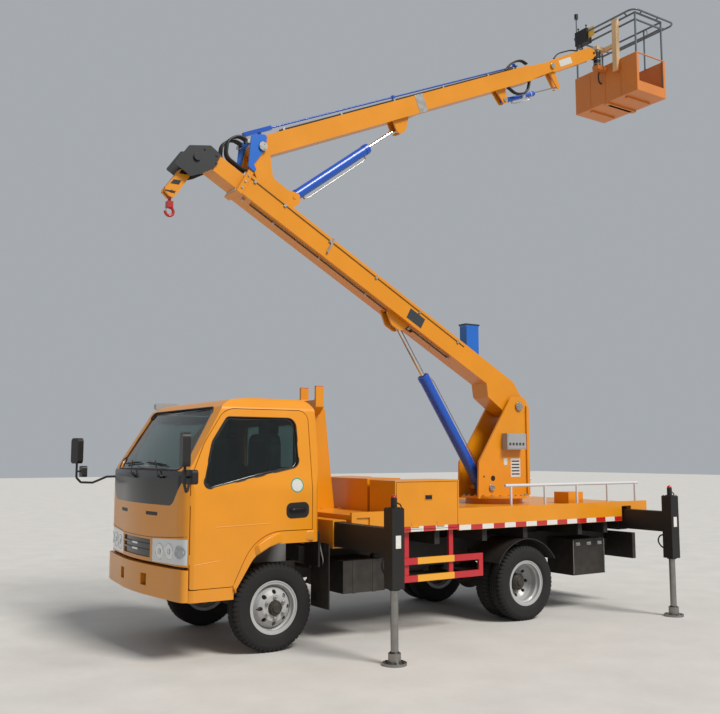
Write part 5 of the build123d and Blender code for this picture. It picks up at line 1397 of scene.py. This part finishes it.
def basket():
    """Pressed ribs, rim, controls, cables, guard plate, hook, rivets and swing rings of the basket."""
    bm = bmesh.new()
    rim = [at(x, y, 6822) for x, y in ((-5856, -516), (-5304, -516), (-5304, 526), (-5856, 526))]
    tube(bm, rounded_path(rim, 0.02, closed=True), 0.009, 8, True)
    for y in (-260, 0, 260):
        for x in ((-5300.5, -5295), (-5865, -5859.5)):
            block(bm, x, (y - 8, y + 8), TUB_RIB_Z)
    for x in (-5700, -5460):
        block(bm, (x - 8, x + 8), (-525, -519.5), TUB_RIB_Z)
    block(bm, (-5860, -5300), (-30, 40), (6298, 6320))
    made("tub_pressings", bm, "faded_orange_paint", "basket", 0.002)
    bm = bmesh.new()
    for y in (-410, -270):
        drum(bm, at(CONTROLS_X, y, 7456), UP, 0.012, 0.014, 24)
        drum(bm, at(CONTROLS_X, y, 7476), UP, 0.006, 0.04, 16)
        dome(bm, at(CONTROLS_X, y, 7500), 0.013)
    made("control_levers", bm, "satin_black_plastic", "basket")
    bm = bmesh.new()
    drum(bm, at(-5290, -340, 7458), UP, 0.02, 0.014, 28)
    made("stop_button", bm, "hook_red_enamel", "basket", 0.002)
    plates("control_guard", [((CONTROLS_X, -5262), (-229, -128), (7300, 7440))],
           "yellow_enamel", "basket", 0.002)
    bm = bmesh.new()
    hose(bm, [at(-5235, -340, 7260), at(-5228, -300, 7140), at(-5225, -120, 7080),
              at(-5215, -70, 7030)], 0.04, 0.009)
    hose(bm, [at(-5252, -10, 6795), at(-5240, -60, 6720), at(-5262, -70, 6620),
              at(-5298, -60, 6600)], 0.05, 0.01)
    made("basket_cables", bm, "hose_rubber", "basket")
    bm = bmesh.new()
    hose(bm, upright(230, ((-5836, 7372), (-5870, 7395), (-5905, 7380), (-5900, 7340))), 0.02, 0.006)
    # The hook takes the rails' blue grey, which is painted shade
    made("tool_hook", bm, "shaded_grey_tube", "basket")
    bm = bmesh.new()
    for z in (6430, 6560, 6690):
        block(bm, (-5860, -5858), (-60, 60), (z, z + 6))
    for y in (-500, -180, 140):
        drum(bm, at(-5297, y, 6790), AHEAD, 0.008, 0.008, 12)
    made("tub_rivets", bm, "zinc_plated_steel", "basket")
    bm = bmesh.new()
    for z in (6812, 6872, 6980):
        drum(bm, at(SWING_X, 0, z), UP, 0.05, 0.01, 32)
    made("swing_rings", bm, "zinc_plated_steel", "basket_level", 0.001)


class CHERRY_OT_basket(bpy.types.Operator):
    """Builds the basket's pressings, controls, cables, hook and swing rings"""
    bl_idname = "cherry.basket"
    bl_label = "Basket"

    def execute(self, context):
        basket()
        return {"FINISHED"}


# Stage

FLOOR_HALF = 60
SKY_COLOUR = linear("e6ecf3")
SKY_STRENGTH = 0.48
# The key light: its spread, its colour, and how far it tips and turns, in degrees
KEY_SPREAD = 20
KEY_COLOUR = (1.0, 0.965, 0.92)
KEY_TURN = (42, 0, 196)
# The camera: where it stands, what lies to its right and ahead of it, and its lens
CAMERA_PLACE = (6.1929, 7.8124, 1.6824)
CAMERA_RIGHT = (-0.8364, 0.5481, 0.0)
CAMERA_AHEAD = (-0.5449, -0.8315, 0.1080)
CAMERA_LENS = 44.895


class CHERRY_OT_stage(bpy.types.Operator):
    """Builds the plain floor, the pale sky, the soft key light and the camera"""
    bl_idname = "cherry.stage"
    bl_label = "Stage"

    def execute(self, context):
        scene = context.scene
        mesh = bpy.data.meshes.new("studio_floor")
        corners = [(x * FLOOR_HALF, y * FLOOR_HALF, 0) for x, y in ((-1, -1), (1, -1), (1, 1), (-1, 1))]
        mesh.from_pydata(corners, [], [(0, 1, 2, 3)])
        mesh.materials.append(finish("pale_floor"))
        floor = bpy.data.objects.new("studio_floor", mesh)
        scene.collection.objects.link(floor)
        world = bpy.data.worlds.new("studio_sky")
        world.use_nodes = True
        sky = world.node_tree.nodes["Background"].inputs
        sky["Color"].default_value = SKY_COLOUR
        sky["Strength"].default_value = SKY_STRENGTH
        scene.world = world
        key = bpy.data.objects.new("key_light", bpy.data.lights.new("key_light", "SUN"))
        key.data.energy = scene.cherry_picker.sun_strength
        key.data.angle = math.radians(KEY_SPREAD)
        key.data.color = KEY_COLOUR
        key.rotation_euler = [math.radians(turn) for turn in KEY_TURN]
        scene.collection.objects.link(key)
        camera = bpy.data.objects.new("camera", bpy.data.cameras.new("camera"))
        right, ahead = Vector(CAMERA_RIGHT).normalized(), Vector(CAMERA_AHEAD).normalized()
        turn = Matrix((right, right.cross(ahead).normalized(), -ahead)).transposed().to_4x4()
        camera.matrix_world = Matrix.Translation(CAMERA_PLACE) @ turn
        camera.data.lens = CAMERA_LENS
        camera.data.sensor_width = 36.0
        camera.data.clip_end = 200.0
        scene.collection.objects.link(camera)
        scene.camera = camera
        scene.view_settings.view_transform = "Standard"
        return {"FINISHED"}


OPERATORS = (CHERRY_OT_finishes, CHERRY_OT_wheels, CHERRY_OT_cab, CHERRY_OT_interior, CHERRY_OT_deck,
             CHERRY_OT_outriggers, CHERRY_OT_booms, CHERRY_OT_basket, CHERRY_OT_stage)


class CHERRY_PT_panel(bpy.types.Panel):
    """Lists the truck's settings and the steps that dress it"""
    bl_idname = "CHERRY_PT_panel"
    bl_label = "Cherry picker"
    bl_space_type = "VIEW_3D"
    bl_region_type = "UI"
    bl_category = "Cherry picker"

    def draw(self, context):
        for name in CherrySettings.__annotations__:
            self.layout.prop(context.scene.cherry_picker, name)
        for operator in OPERATORS:
            self.layout.operator(operator.bl_idname)


CLASSES = (CherrySettings, *OPERATORS, CHERRY_PT_panel)


def register():
    for cls in CLASSES:
        bpy.utils.register_class(cls)
    bpy.types.Scene.cherry_picker = PointerProperty(type=CherrySettings)


def unregister():
    del bpy.types.Scene.cherry_picker
    for cls in reversed(CLASSES):
        bpy.utils.unregister_class(cls)


def main():
    register()
    for operator in OPERATORS:
        group, name = operator.bl_idname.split(".")
        getattr(getattr(bpy.ops, group), name)()


if __name__ == "__main__":
    main()
